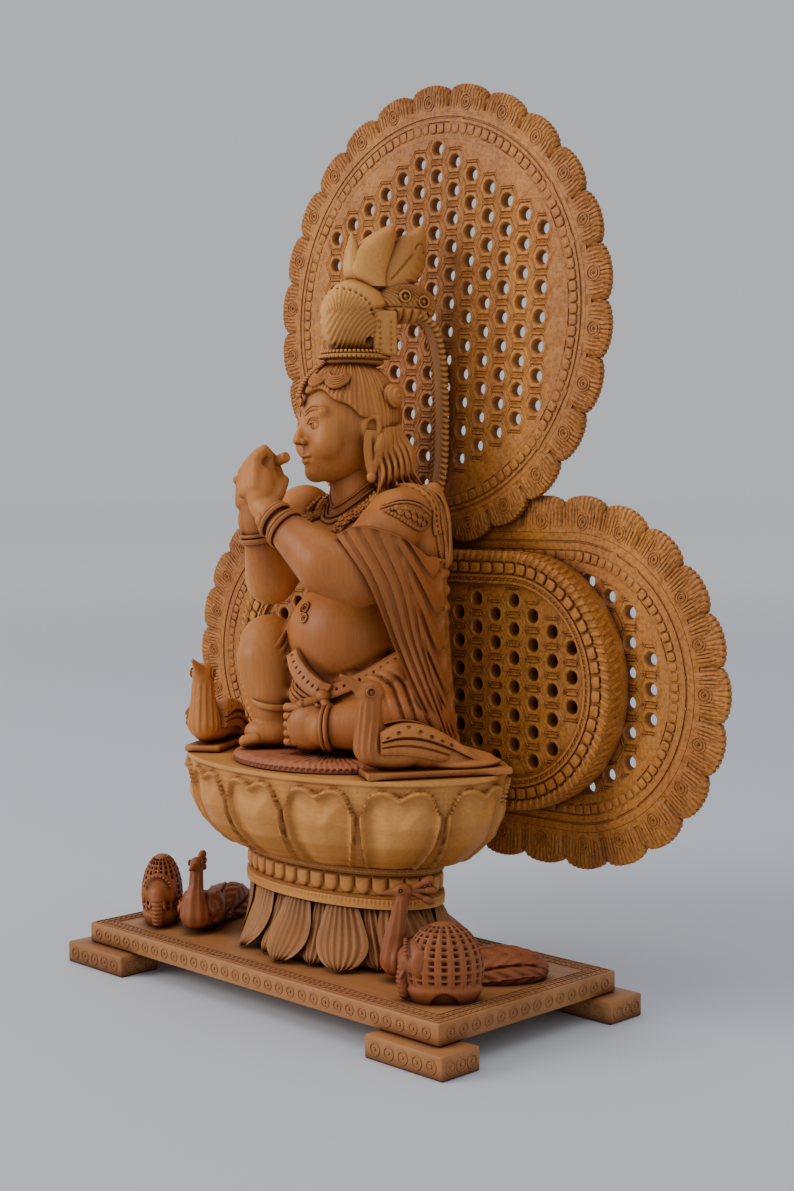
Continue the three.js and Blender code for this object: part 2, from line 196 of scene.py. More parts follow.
def between(low, high, value):
    """0 below low, 1 above high, and an easy slope between them."""
    return ease((value - low) / (high - low))


def ridge(value, middle, half):
    """Round ridge of height 1 about a middle, 0 outside its half width."""
    share = np.clip(np.abs(value - middle) / half, 0, 1)
    return np.cos(share * math.pi / 2) ** 2


def there_and_back(value):
    """Whether a value is in its first half, and its share of the way there or back."""
    first = value <= 0.5
    return first, np.where(first, value * 2, 2 - 2 * value)


def row_of(share, last):
    """Whole row numbers from 0 to the last one."""
    return np.clip(np.round(share * last).astype(int), 0, last)


def closed_ends(v, cap):
    """Share of the height between two closing caps, and the share of the way out from the middle."""
    up = np.clip((v - cap) / (1 - 2 * cap), 0, 1)
    return up, np.where(v < cap, v / cap, np.where(v > 1 - cap, (1 - v) / cap, 1.0))


def columns_at(share, known, table):
    """Rows of a table read at shares between its known places."""
    return np.column_stack([np.interp(share, known, table[:, k]) for k in range(table.shape[1])])


# Camera at the photograph's place and angle, in metres, degrees and the photograph's pixels
CAMERA_AT = (0.5408, -0.4913, 0.2076)
CAMERA_TURNS = (-45.721, -3.384, -0.406)
FOCAL_LENGTH, PICTURE_HEIGHT = 1763.59, 1191


def set_camera():
    yaw, pitch, roll = (math.radians(angle) for angle in CAMERA_TURNS)
    ahead = Vector((math.cos(pitch) * math.sin(yaw), math.cos(pitch) * math.cos(yaw), math.sin(pitch)))
    side = ahead.cross(Vector((0, 0, 1))).normalized()
    rise = side.cross(ahead)
    right = side * math.cos(roll) + rise * math.sin(roll)
    top = rise * math.cos(roll) - side * math.sin(roll)
    data = bpy.data.cameras.new("camera")
    camera = bpy.data.objects.new("camera", data)
    bpy.context.collection.objects.link(camera)
    turn = Matrix((right, top, -ahead)).transposed().to_4x4()
    camera.matrix_world = Matrix.Translation(CAMERA_AT) @ turn
    data.sensor_fit = "VERTICAL"
    data.sensor_height = 24
    data.lens = data.sensor_height * FOCAL_LENGTH / PICTURE_HEIGHT
    data.clip_start = 0.01
    bpy.context.scene.camera = camera


def add_light(name, place, aim, size, power, colour):
    """A soft rectangular light at a place, aimed at a point."""
    data = bpy.data.lights.new(name, "AREA")
    data.shape = "RECTANGLE"
    data.size, data.size_y = size
    data.energy = power
    data.color = colour
    light = bpy.data.objects.new(name, data)
    bpy.context.collection.objects.link(light)
    light.location = place
    light.rotation_euler = (Vector(aim) - Vector(place)).to_track_quat("-Z", "Y").to_euler()


def set_studio():
    # Large soft window from the front left, weaker fill from the right and above
    add_light("window_light", (-1.1, -1.7, 1.0), (0, 0, 0.2), (1.2, 1.2), 33, (1.0, 0.95, 0.88))
    add_light("fill_light", (1.9, -0.6, 0.7), (0, 0, 0.2), (1.6, 1.4), 2, (1.0, 0.96, 0.9))
    add_light("top_light", (0.2, -0.2, 2.0), (0, 0, 0.1), (1.8, 1.8), 11, (1.0, 0.96, 0.9))
    world = bpy.data.worlds.new("studio")
    bpy.context.scene.world = world
    world.use_nodes = True
    backdrop = world.node_tree.nodes["Background"]
    backdrop.inputs["Color"].default_value = (0.92, 0.94, 1.0, 1)
    backdrop.inputs["Strength"].default_value = 0.585
    # Floor that fades into the backdrop
    deselect()
    bpy.ops.mesh.primitive_plane_add(size=1)
    floor = bpy.context.object
    floor.name = "studio_floor"
    pick(floor)
    bpy.ops.object.mode_set(mode="EDIT")
    bpy.ops.transform.resize(value=(60, 60, 1))
    bpy.ops.object.mode_set(mode="OBJECT")
    floor.data.materials.append(paper_finish())


# Finishes

def wire(tree, *links):
    """Links, each as node and output, then node and input."""
    for start, output, end, socket in links:
        tree.links.new(start.outputs[output], end.inputs[socket])


def add_node(tree, kind, sockets=None, **settings):
    """A new node with its settings, then the values of its own sockets."""
    node = tree.nodes.new(kind)
    for key, value in settings.items():
        setattr(node, key, value)
    for key, value in (sockets or {}).items():
        node.inputs[key].default_value = value
    return node


def map_range(tree, low, high, first=0.0, last=1.0, **settings):
    """A Map Range node from its four limits."""
    sockets = {"From Min": low, "From Max": high, "To Min": first, "To Max": last}
    return add_node(tree, "ShaderNodeMapRange", sockets, **settings)


def mix_colours(tree, sockets=None, blend="MIX"):
    """A Mix node for colours."""
    return add_node(tree, "ShaderNodeMix", sockets, data_type="RGBA", blend_type=blend)


def new_group(name, inputs, outputs):
    """An empty node group with its sockets, and its input and output nodes."""
    group = bpy.data.node_groups.new(name, "ShaderNodeTree")
    for in_out, sockets in (("INPUT", inputs), ("OUTPUT", outputs)):
        for socket, kind in sockets:
            group.interface.new_socket(socket, in_out=in_out, socket_type=kind)
    return group, group.nodes.new("NodeGroupInput"), group.nodes.new("NodeGroupOutput")


def place_group(tree, group, values=None):
    """A node that runs a group, with the values of its sockets."""
    return add_node(tree, "ShaderNodeGroup", values, node_tree=group)


def new_material(name):
    """A material with its node tree and its shader."""
    material = bpy.data.materials.new(name)
    material.use_nodes = True
    tree = material.node_tree
    return material, tree, tree.nodes["Principled BSDF"]


def paper_finish():
    """Pale paper that is a little darker near the carving than far away."""
    material, tree, shader = new_material("studio_paper")
    shader.inputs["Roughness"].default_value = 0.8
    place = add_node(tree, "ShaderNodeTexCoord")
    length = add_node(tree, "ShaderNodeVectorMath", operation="LENGTH")
    far = map_range(tree, 0.5, 4.0, interpolation_type="SMOOTHSTEP")
    fade = mix_colours(tree, {"A": (0.56, 0.60, 0.665, 1), "B": (0.97, 0.97, 0.97, 1)})
    wire(
        tree,
        (place, "Object", length, 0), (length, "Value", far, "Value"), (far, "Result", fade, "Factor"),
        (fade, "Result", shader, "Base Color"),
    )
    return material


def make_grain():
    """Wood grain: long streaks, growth bands and pores, with dark and light between them."""
    group, inside, outside = new_group(
        "wood_grain",
        (
            ("Light", "NodeSocketColor"), ("Dark", "NodeSocketColor"), ("Red", "NodeSocketColor"),
            ("Band Size", "NodeSocketFloat"), ("Turn", "NodeSocketVector"),
        ),
        (("Color", "NodeSocketColor"), ("Height", "NodeSocketFloat")),
    )
    place = add_node(group, "ShaderNodeTexCoord")
    turned = add_node(group, "ShaderNodeMapping")
    stretched = add_node(group, "ShaderNodeMapping", {"Scale": (1, 1, 0.07)})
    bands = add_node(group, "ShaderNodeTexNoise", {"Detail": 3})
    streaks = add_node(group, "ShaderNodeTexNoise", {"Scale": 900, "Detail": 4})
    clouds = add_node(group, "ShaderNodeTexNoise", {"Scale": 22, "Detail": 2})
    band_ramp = map_range(group, 0.38, 0.64)
    streak_ramp = map_range(group, 0.3, 0.75, 0.0, 0.45)
    cloud_ramp = map_range(group, 0.45, 0.72, 0.0, 0.5)
    first, second = mix_colours(group), mix_colours(group)
    third = mix_colours(group, {"B": (0.66, 0.56, 0.5, 1)}, "MULTIPLY")
    wire(
        group,
        (place, "Object", turned, "Vector"), (inside, "Turn", turned, "Rotation"),
        (turned, "Vector", stretched, "Vector"), (stretched, "Vector", bands, "Vector"),
        (inside, "Band Size", bands, "Scale"), (stretched, "Vector", streaks, "Vector"),
        (place, "Object", clouds, "Vector"), (bands, "Fac", band_ramp, "Value"),
        (streaks, "Fac", streak_ramp, "Value"), (clouds, "Fac", cloud_ramp, "Value"),
        (inside, "Light", first, "A"), (inside, "Dark", first, "B"),
        (band_ramp, "Result", first, "Factor"), (first, "Result", second, "A"),
        (inside, "Red", second, "B"), (cloud_ramp, "Result", second, "Factor"),
        (second, "Result", third, "A"), (streak_ramp, "Result", third, "Factor"),
        (third, "Result", outside, "Color"), (streaks, "Fac", outside, "Height"),
    )
    return group


def make_stipple():
    """Fine dents of the punch, with painted shade at their bottom and painted light on their tops."""
    group, inside, outside = new_group(
        "punched_ground",
        (("Color", "NodeSocketColor"),),
        (("Color", "NodeSocketColor"), ("Height", "NodeSocketFloat")),
    )
    place = add_node(group, "ShaderNodeTexCoord")
    dents = add_node(group, "ShaderNodeTexNoise", {"Scale": 620, "Detail": 2.5, "Roughness": 0.65})
    # Painted shade and light: the colour follows the dents' depth, scaled to 0.68 at their bottom and 1.1 on
    # their tops
    ramp = map_range(group, 0.34, 0.56, 0.68, 1.1)
    shade = add_node(group, "ShaderNodeVectorMath", operation="SCALE")
    wire(
        group,
        (place, "Object", dents, "Vector"), (dents, "Fac", ramp, "Value"), (inside, "Color", shade, 0),
        (ramp, "Result", shade, "Scale"), (shade, "Vector", outside, "Color"),
        (ramp, "Result", outside, "Height"),
    )
    return group


def make_hollow_shade_and_dust():
    """Painted shade in the hollows, from their ambient occlusion, with some wax and dust: the hollows are
    darkened and dulled.
    """
    group, inside, outside = new_group(
        "painted_hollow_shade_and_dust",
        (("Color", "NodeSocketColor"), ("Hollow Shade", "NodeSocketColor"), ("Reach", "NodeSocketFloat")),
        (("Color", "NodeSocketColor"), ("Roughness", "NodeSocketFloat")),
    )
    # Painted shade: the lower a spot's ambient occlusion, the more its colour is multiplied by the hollow
    # tone
    hollow = add_node(group, "ShaderNodeAmbientOcclusion", samples=6)
    depth = map_range(group, 0.35, 1.0, 1.0, 0.0)
    shade = mix_colours(group, blend="MULTIPLY")
    gloss = map_range(group, 0.0, 1.0, 0.46, 0.75)
    wire(
        group,
        (inside, "Reach", hollow, "Distance"), (hollow, "AO", depth, "Value"),
        (depth, "Result", shade, "Factor"), (inside, "Color", shade, "A"), (inside, "Hollow Shade", shade, "B"),
        (depth, "Result", gloss, "Value"), (shade, "Result", outside, "Color"),
        (gloss, "Result", outside, "Roughness"),
    )
    return group


GRAIN = make_grain()
STIPPLE = make_stipple()
HOLLOW_SHADE_AND_DUST = make_hollow_shade_and_dust()
# Colour and reach of the painted shade, with some dust, in the hollows
HOLLOW_SHADE_TONE = (0.2, 0.1, 0.05)
HOLLOW_SHADE_REACH = 5


def wood_finish(name, light, dark, red, band, turn=(0, 0, 0), punched=False):
    """Oiled wood from its light, dark and red tones, with bands across it, and painted shade with some dirt
    in the hollows.
    """
    material, tree, shader = new_material(name)
    shader.inputs["Specular IOR Level"].default_value = 0.27
    grain = place_group(tree, GRAIN, {
        "Light": (*light, 1), "Dark": (*dark, 1), "Red": (*red, 1), "Band Size": band, "Turn": turn})
    # Painted shade in the hollows, with some dirt
    shade_and_dust = place_group(tree, HOLLOW_SHADE_AND_DUST, {"Hollow Shade": (*HOLLOW_SHADE_TONE, 1), "Reach": HOLLOW_SHADE_REACH * MM})
    bump = add_node(tree, "ShaderNodeBump", {"Strength": 0.18, "Distance": 0.0003})
    tone = grain
    if punched:
        # Punched dents, with painted shade in them and painted light on their tops
        tone = place_group(tree, STIPPLE)
        dent_bump = add_node(tree, "ShaderNodeBump", {"Strength": 0.4, "Distance": 0.0004})
        wire(
            tree,
            (grain, "Color", tone, "Color"),
            (tone, "Height", dent_bump, "Height"),
            (dent_bump, "Normal", bump, "Normal"),
        )
    wire(
        tree,
        (tone, "Color", shade_and_dust, "Color"), (grain, "Height", bump, "Height"),
        (shade_and_dust, "Color", shader, "Base Color"), (shade_and_dust, "Roughness", shader, "Roughness"),
        (bump, "Normal", shader, "Normal"),
    )
    return material


SIDEWAYS = (0, math.radians(90), 0)
PLINTH_WOOD = wood_finish(
    "plinth_oiled_wood", (0.46, 0.208, 0.07), (0.30, 0.126, 0.04), (0.39, 0.14, 0.054), 30, SIDEWAYS)
SEAT_WOOD = wood_finish(
    "seat_oiled_wood", (0.74, 0.35, 0.085), (0.53, 0.215, 0.045), (0.58, 0.22, 0.055), 22, SIDEWAYS)
# The leaf foot's own wood tone, darkened further as painted shade from the seat above it
SHADED_LEAF_WOOD = wood_finish(
    "leaf_oiled_wood_painted_shade", (0.46, 0.20, 0.06), (0.31, 0.125, 0.034), (0.38, 0.135, 0.043), 24)
SCREEN_WOOD = wood_finish(
    "screen_oiled_wood", (0.56, 0.222, 0.038), (0.375, 0.133, 0.023), (0.46, 0.147, 0.03), 24, punched=True)
FIGURE_WOOD = wood_finish(
    "figure_polished_wood", (0.60, 0.235, 0.052), (0.38, 0.125, 0.028), (0.48, 0.14, 0.034), 30)
ANIMAL_WOOD = wood_finish(
    "animal_oiled_wood", (0.37, 0.119, 0.035), (0.24, 0.072, 0.023), (0.31, 0.08, 0.027), 34)
MAT_WOOD = wood_finish(
    "mat_oiled_wood", (0.46, 0.16, 0.075), (0.32, 0.105, 0.05), (0.42, 0.115, 0.058), 34, SIDEWAYS)


def finish(piece, material, slot, *nodes):
    """The last step of every piece: its wood, its body and the solid it stands for."""
    piece.data.materials.clear()
    piece.data.materials.append(material)
    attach(piece, "root")
    if nodes:
        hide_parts(*nodes)
    return piece


# Sizes repeated from the solids, in millimetres
BOARD = (216, 100, 8.4)
FOOT = (40, 19.5, 9.1)
FOOT_REACH = (8, 6.5)
SEAM = 0.3
BOARD_BOTTOM = 9.4
BOARD_TOP = 17.8
LEAF_FOOT_BOTTOM, LEAF_FOOT_HEIGHT = 18.1, 23.6
DRUM_BOTTOM, DRUM_HEIGHT = 42.0, 17.8
SEAT_BOTTOM, SEAT_HEIGHT = 60.1, 37.2
SEAT_TOP = 97.3
MAT_BOTTOM, MAT_HEIGHT = 97.6, 4.0
MIDDLE_Y = 3
SCREEN_HEIGHT = 130
BACK_FRONT, BACK_DEPTH = 53, 3.5
HALO_FRONT, HALO_DEPTH = 49.2, 3.5
FRONT_FRONT, FRONT_DEPTH = 40, 12.7
HALO_AT, HALO_RADIUS = (8, 281.5), 97.5
BACK_HALF, BACK_RADIUS = 83, 75.5
FRONT_HALF, FRONT_RADIUS = 60, 52.5
HOLE = 2.6
HOLE_WIDE = 2.85
PITCH = 11.8


def even_turns(a, b, share):
    """Angles round an oval of half sizes a and b at shares of its edge length."""
    fine = np.linspace(0, TURN, 1441)
    middles = (fine[1:] + fine[:-1]) / 2
    travelled = np.concatenate([[0], np.cumsum(np.hypot(a * np.sin(middles), b * np.cos(middles)))])
    return np.interp(share * travelled[-1], travelled, fine)


def on_oval(a, b, share, push):
    """Points pushed out from an oval along its normal."""
    turn = even_turns(a, b, share)
    length = np.hypot(b * np.cos(turn), a * np.sin(turn))
    x = a * np.cos(turn) + push * b * np.cos(turn) / length
    y = b * np.sin(turn) + push * a * np.sin(turn) / length
    return x, y


# Small ornaments, each modelled once

def ring_stamp(radius=2.1, thick=0.34, dot=0.6):
    """A raised ring with a dot, lying in the XY plane."""
    deselect()
    bpy.ops.mesh.primitive_torus_add(
        major_radius=radius * MM, minor_radius=thick * MM, major_segments=16, minor_segments=6)
    ring = bpy.context.object
    middle = ball(0, 0, 0, (dot, dot, 0.5), across=8, up=5)
    return join("ring_stamp", [ring, middle])


def stamp_at(place, radius, thick, dot):
    """A ring stamp laid at its place."""
    stamp = ring_stamp(radius, thick, dot)
    stamp.matrix_world = place
    return settle(stamp)


def bead_master(half):
    """A squarish bead with rounded corners, lying in the XY plane."""
    deselect()
    bpy.ops.mesh.primitive_cube_add(size=2)
    piece = bpy.context.object
    open_edit(piece)
    bpy.ops.mesh.bevel(offset=0.55, segments=2, affect="EDGES")
    bpy.ops.transform.resize(value=tuple(size * MM for size in half))
    bpy.ops.object.mode_set(mode="OBJECT")
    return piece


def nick_master(half=(1.1, 0.5, 0.45)):
    """A small lens left between two cuts of a gouge."""
    return ball(0, 0, 0, half, across=8, up=5)


# Plinth

def slab(x, y, z, dx, dy, dz, bevel):
    """A block from its low corner and its three lengths, with bevelled edges."""
    deselect()
    middle = ((x + dx / 2) * MM, (y + dy / 2) * MM, (z + dz / 2) * MM)
    bpy.ops.mesh.primitive_cube_add(size=MM, location=middle)
    piece = bpy.context.object
    piece.scale = (dx, dy, dz)
    settle(piece)
    open_edit(piece)
    bpy.ops.mesh.bevel(offset=bevel * MM, segments=2, affect="EDGES")
    bpy.ops.object.mode_set(mode="OBJECT")
    return piece


def rings_along(x0, y0, x1, y1, z, out, step):
    """Places of ring stamps along a side, facing the direction out (degrees about Z)."""
    length = math.hypot(x1 - x0, y1 - y0)
    count = max(1, round(length / step))
    return [
        at(x0 + (x1 - x0) * (k + 0.5) / count, y0 + (y1 - y0) * (k + 0.5) / count, z, 90, 0, out)
        for k in range(count)
    ]


def plinth_board():
    """Board with ringed stamps round its sides, and nicks and lines round its top."""
    length, depth, height = BOARD
    board = slab(-length / 2, -depth / 2, BOARD_BOTTOM, length, depth, height, 0.7)
    middle = BOARD_BOTTOM + height / 2
    x, y = length / 2, depth / 2
    places = []
    for x0, y0, x1, y1, out in (
        (-x + 3, -y, x - 3, -y, 0), (-x + 3, y, x - 3, y, 180),
        (x, -y + 3, x, y - 3, 90), (-x, -y + 3, -x, y - 3, -90),
    ):
        places += rings_along(x0, y0, x1, y1, middle, out, 6.8)
    rings = copies("board_rings", ring_stamp(), places)
    long_count, short_count = 70, 31
    nicks = []
    for inset, slant in ((3.2, 35), (6.6, -35)):
        long, short = 2 * x - 2 * inset, 2 * y - 2 * inset
        for side in (-1, 1):
            for k in range(long_count):
                along = -x + inset + long * (k + 0.5) / long_count
                nicks.append(at(along, side * (y - inset), BOARD_TOP, 0, 0, slant))
            for k in range(short_count):
                along = -y + inset + short * (k + 0.5) / short_count
                nicks.append(at(side * (x - inset), along, BOARD_TOP, 0, 0, 90 + slant))
    milled = copies("board_nicks", nick_master(), nicks)
    lines = []
    wide, high, bevel = 0.6, 0.75, 0.15
    low = BOARD_TOP - 0.4
    for inset in (1.6, 4.9, 8.4):
        long, short = 2 * (x - inset), 2 * (y - inset)
        for side in (-1, 1):
            lines.append(slab(-x + inset, side * (y - inset) - wide / 2, low, long, wide, high, bevel))
            lines.append(slab(side * (x - inset) - wide / 2, -y + inset, low, wide, short, high, bevel))
    board = smooth(join("board_carved", [board, rings, milled, *lines]), 50)
    finish(board, PLINTH_WOOD, "plinth_wood", "plinth_board")


def plinth_feet():
    """Four feet with ringed stamps on every side."""
    length, depth, height = FOOT
    for end, side_y in (("front", -1), ("back", 1)):
        for hand, side_x in (("left", -1), ("right", 1)):
            x0 = side_x * (BOARD[0] / 2 + FOOT_REACH[0] - length / 2) - length / 2
            y0 = side_y * (BOARD[1] / 2 + FOOT_REACH[1] - depth / 2) - depth / 2
            foot = slab(x0, y0, 0, length, depth, height, 0.8)
            middle = height / 2
            places = (
                rings_along(x0 + 2, y0, x0 + length - 2, y0, middle, 0, 7)
                + rings_along(x0 + 2, y0 + depth, x0 + length - 2, y0 + depth, middle, 180, 7)
                + rings_along(x0, y0 + 1.5, x0, y0 + depth - 1.5, middle, -90, 5.5)
                + rings_along(x0 + length, y0 + 1.5, x0 + length, y0 + depth - 1.5, middle, 90, 5.5)
            )
            rings = copies("foot_rings", ring_stamp(2.4, 0.36, 0.65), places)
            foot = smooth(join(f"foot_carved_{end}_{hand}", [foot, rings]), 50)
            finish(foot, PLINTH_WOOD, "plinth_wood", f"plinth_foot_{end}_{hand}")


# Pedestal

# Heights and how far out the surface is there, both as shares
LEAF_ROWS = ((0, 0.9), (0.12, 1), (0.38, 0.72), (0.68, 0.3), (1, 0))


def leaf_slope(share, up, push):
    """Surface of the leaf foot at a share of the way round and of its height."""
    out = np.interp(up, *zip(*LEAF_ROWS))
    x, y = np.zeros_like(share), np.zeros_like(share)
    steps = 24
    level = row_of(out, steps)
    for k in range(steps + 1):
        here = level == k
        if here.any():
            spread = out[here].mean()
            x[here], y[here] = on_oval(49 + 2.5 * spread, 24 + 15.5 * spread, share[here], push[here])
    # The middle of the oval moves with its spread
    x = x + 4 * out
    y = y + MIDDLE_Y + 4 * out
    return np.column_stack([x, y, LEAF_FOOT_BOTTOM + up * LEAF_FOOT_HEIGHT])


def leaf(name, middle, half, tip, top_push, ribs):
    """One down-turned leaf with ribs, on the foot's slope; a closed thin shell."""
    def place(u, v):
        # v runs down the front and back up the inside
        front, down = there_and_back(v)
        across = (u - 0.5) * 2
        taper = np.clip((down - 0.4) / 0.6, 0, 1)
        width = half * (0.72 + 0.28 * np.sin(math.pi * np.clip(down * 1.1, 0, 1) * 0.75))
        width = np.maximum(width * np.clip(1 - taper ** 2.6, 0, 1) ** 0.62, 0.0003)
        push = top_push + tip * down ** 3 + 1.5 * (1 - across ** 2) + 0.7 * ridge(np.abs(across), 1, 0.16)
        rib = 0.46 * np.cos(across * ribs * TURN / 2) * np.clip(1.15 - across ** 2, 0, 1) ** 0.5
        push = np.where(front, push + rib, push - 1.6)
        return leaf_slope((middle + across * width) % 1.0, 1 - down * 0.985, push)
    return bent_sheet(name, 40, 30, place)


def leaf_core(u, v):
    """Closed core under the leaves, a little inside them."""
    up, inward = closed_ends(v, 0.1)
    points = leaf_slope(u % 1.0, up, np.full_like(u, -3.2))
    centre = np.column_stack([np.full_like(u, 2), np.full_like(u, 5), points[:, 2]])
    return centre + (points - centre) * inward[:, None]


def lotus_foot():
    """Down-turned leaves, broad and narrow in turn, round a core."""
    leaves = [bent_sheet("leaf_core", 120, 16, leaf_core)]
    for k in range(10):
        middle = 0.75 + k / 10
        leaves.append(leaf("broad_leaf", middle, 0.043, 4.2, 0.5, 7))
        leaves.append(leaf("narrow_leaf", middle + 0.05, 0.03, 1.6, -1.6, 5))
    foot = smooth(join("leaf_foot_carved", leaves), 60)
    # The leaves' colour holds painted shade from the seat above them
    finish(foot, SHADED_LEAF_WOOD, "seat_wood", "lotus_foot")


def oval_column(name, columns, rows, profile, relief):
    """Closed oval turning. profile(v) gives half sizes and height; relief(u, v) pushes out."""
    cap_rows = 2
    cap = cap_rows / (rows + 2 * cap_rows)

    def place(u, v):
        side, inward = closed_ends(v, cap)
        a, b, height = profile(side)
        push = relief(u, side)
        turn = even_turns(1.6, 1.0, u % 1.0)
        length = np.hypot(b * np.cos(turn), a * np.sin(turn))
        x = (a + push * b / length) * np.cos(turn) * inward
        y = (b + push * a / length) * np.sin(turn) * inward
        return np.column_stack([x, y + MIDDLE_Y, height])
    return bent_sheet(name, columns, rows + 2 * cap_rows, place)


def drum():
    """Oval band of rounded tiles between hatched rims."""
    tiles = 36

    def profile(v):
        return np.full_like(v, 54.0), np.full_like(v, 27.0), DRUM_BOTTOM + v * DRUM_HEIGHT

    def relief(u, v):
        waist = between(0.25, 0.3, v) * (1 - between(0.72, 0.77, v))
        phase = np.abs((u * tiles) % 1.0 - 0.5) * 2.2
        reach = np.hypot(phase, np.clip(0.52 - v, 0, 1) / 0.235)
        reach = np.maximum(reach, np.clip(v - 0.52, 0, 1) / 0.19)
        tile = 1.7 * np.clip(1 - reach ** 3, 0, 1) ** 0.5
        hatch = 0.26 * np.cos(u * TURN * tiles * 4)
        low_hatch = hatch * ridge(v, 0.15, 0.1)
        high_hatch = hatch * ridge(v, 0.86, 0.06)
        lines = -0.4 * (ridge(v, 0.23, 0.025) + ridge(v, 0.79, 0.025) + ridge(v, 0.93, 0.025))
        return -2.0 * waist + tile * waist + low_hatch + high_hatch + lines - 0.2
    piece = smooth(oval_column("drum_carved", tiles * 15, 44, profile, relief), 60)
    finish(piece, SEAT_WOOD, "seat_wood", "drum_band")


SEAT_ROWS = ((0, 0), (0.1, 0.32), (0.28, 0.66), (0.5, 0.86), (0.74, 0.95), (0.9, 1), (1, 1))


def lotus_seat():
    """Oval bowl of heart-shaped petals on a punched ground."""
    petals = 12

    def profile(v):
        out = np.interp(v, *zip(*SEAT_ROWS))
        return 62 + 20 * out, 34 + 16.6 * out, SEAT_BOTTOM + v * SEAT_HEIGHT

    def relief(u, v):
        across = ((u - 0.75) * petals + petals + 0.5) % 1.0 * 2 - 1
        half_width = 18.0
        across = across / (0.8 + 0.2 * np.sin(math.pi / 2 * np.clip(0.1 + v * 1.5, 0, 1)))
        side = (0.93 - np.abs(across)) * half_width
        lobes = 0.82 + 0.075 * np.sin(math.pi * np.clip(np.abs(across) / 0.84, 0, 1)) ** 1.2
        lobes = lobes - 0.2 * between(0.6, 0.95, np.abs(across)) ** 1.5
        top = (lobes - v) * SEAT_HEIGHT
        inset = np.minimum(side, top)
        ground = -1.0 + 0.22 * np.sin(u * TURN * 190) * np.sin(v * 150)
        ground = ground * (1 - between(0.93, 0.955, v)) + 0.2 * between(0.93, 0.955, v)
        border = 1.2 * between(-0.2, 0.4, inset)
        scoop = -2.3 * between(0.7, 3.0, inset)
        swell = 2.7 * between(3.0, 14, inset) * (0.5 + 0.5 * np.sin(math.pi * np.clip(v * 1.1, 0, 1)))
        fold = 0.8 * ridge(across, 0, 0.22) * between(0.42, 0.76, v)
        low_lip = 0.9 * ridge(v, 0.03, 0.05)
        return np.where(inset > -0.2, border + scoop + swell + fold, ground) + low_lip
    seat = oval_column("seat_carved", petals * 50, 62, profile, relief)
    # Flat back against the front screen
    cut_off(seat, (0, FRONT_FRONT - SEAM, 0), (0, 1, 0))
    finish(smooth(seat, 60), SEAT_WOOD, "seat_wood", "lotus_seat")


def seat_mat():
    """Oval pad with a corded edge and strokes that run in from it."""
    cap, rim = 0.06, 0.35

    def place(u, v):
        side = np.clip((v - cap) / (1 - cap), 0, 1)
        closing = np.cos(math.pi / 2 * (side - rim) / (1 - rim)) ** 0.8
        inward = np.where(v < cap, v / cap, np.where(side < rim, 1.0, closing))
        turn = u * TURN
        fur = np.sin(turn * 90 + 5 * np.sin(turn * 7) + side * 9)
        fur = fur * (0.55 + 0.45 * np.sin(side * 26 + 3 * np.sin(turn * 23)))
        edge = 0.5 * np.cos(turn * 110) * ridge(side, 0.3, 0.25)
        a = 46 * inward + edge
        b = 40 * inward + edge
        rise = np.where(side < rim, side / rim * 0.55, 0.55 + 0.45 * ease((side - rim) / 0.2))
        stroke = 0.34 * fur * between(rim, 0.45, side) * (side < 0.98)
        height = MAT_BOTTOM + MAT_HEIGHT * rise * 0.94 + stroke
        return np.column_stack([4 + a * np.cos(turn), -3 + b * np.sin(turn), height])
    mat = smooth(bent_sheet("mat_carved", 440, 34, place), 60)
    finish(mat, MAT_WOOD, "animal_wood", "seat_mat")


# Screens

def bend_round(piece, half_straight, radius, height=SCREEN_HEIGHT, shift=0.0):
    """A strip along X, with its distance from the middle line in Z, bent round an oval.

    X counts along the edge at the given radius, from the middle of the top, clockwise as seen
    from the front; Z is the distance out; Y stays.
    """
    points = points_of(piece)
    total = 4 * half_straight + TURN * radius
    bend = math.pi * radius
    along = (points[:, 0] + half_straight) % total
    out = points[:, 2]
    x, z = np.zeros_like(out), np.zeros_like(out)
    straight = 2 * half_straight
    top = along < straight
    x[top], z[top] = along[top] - half_straight, out[top]
    right = ~top & (along < straight + bend)
    turn = math.pi / 2 - (along[right] - straight) / radius
    x[right], z[right] = half_straight + out[right] * np.cos(turn), out[right] * np.sin(turn)
    low = ~top & ~right & (along < 2 * straight + bend)
    x[low], z[low] = half_straight - (along[low] - straight - bend), -out[low]
    left = ~top & ~right & ~low
    turn = -math.pi / 2 - (along[left] - 2 * straight - bend) / radius
    x[left], z[left] = -half_straight + out[left] * np.cos(turn), out[left] * np.sin(turn)
    move_points(piece, np.column_stack([x + shift, points[:, 1], z + height]))
    return piece


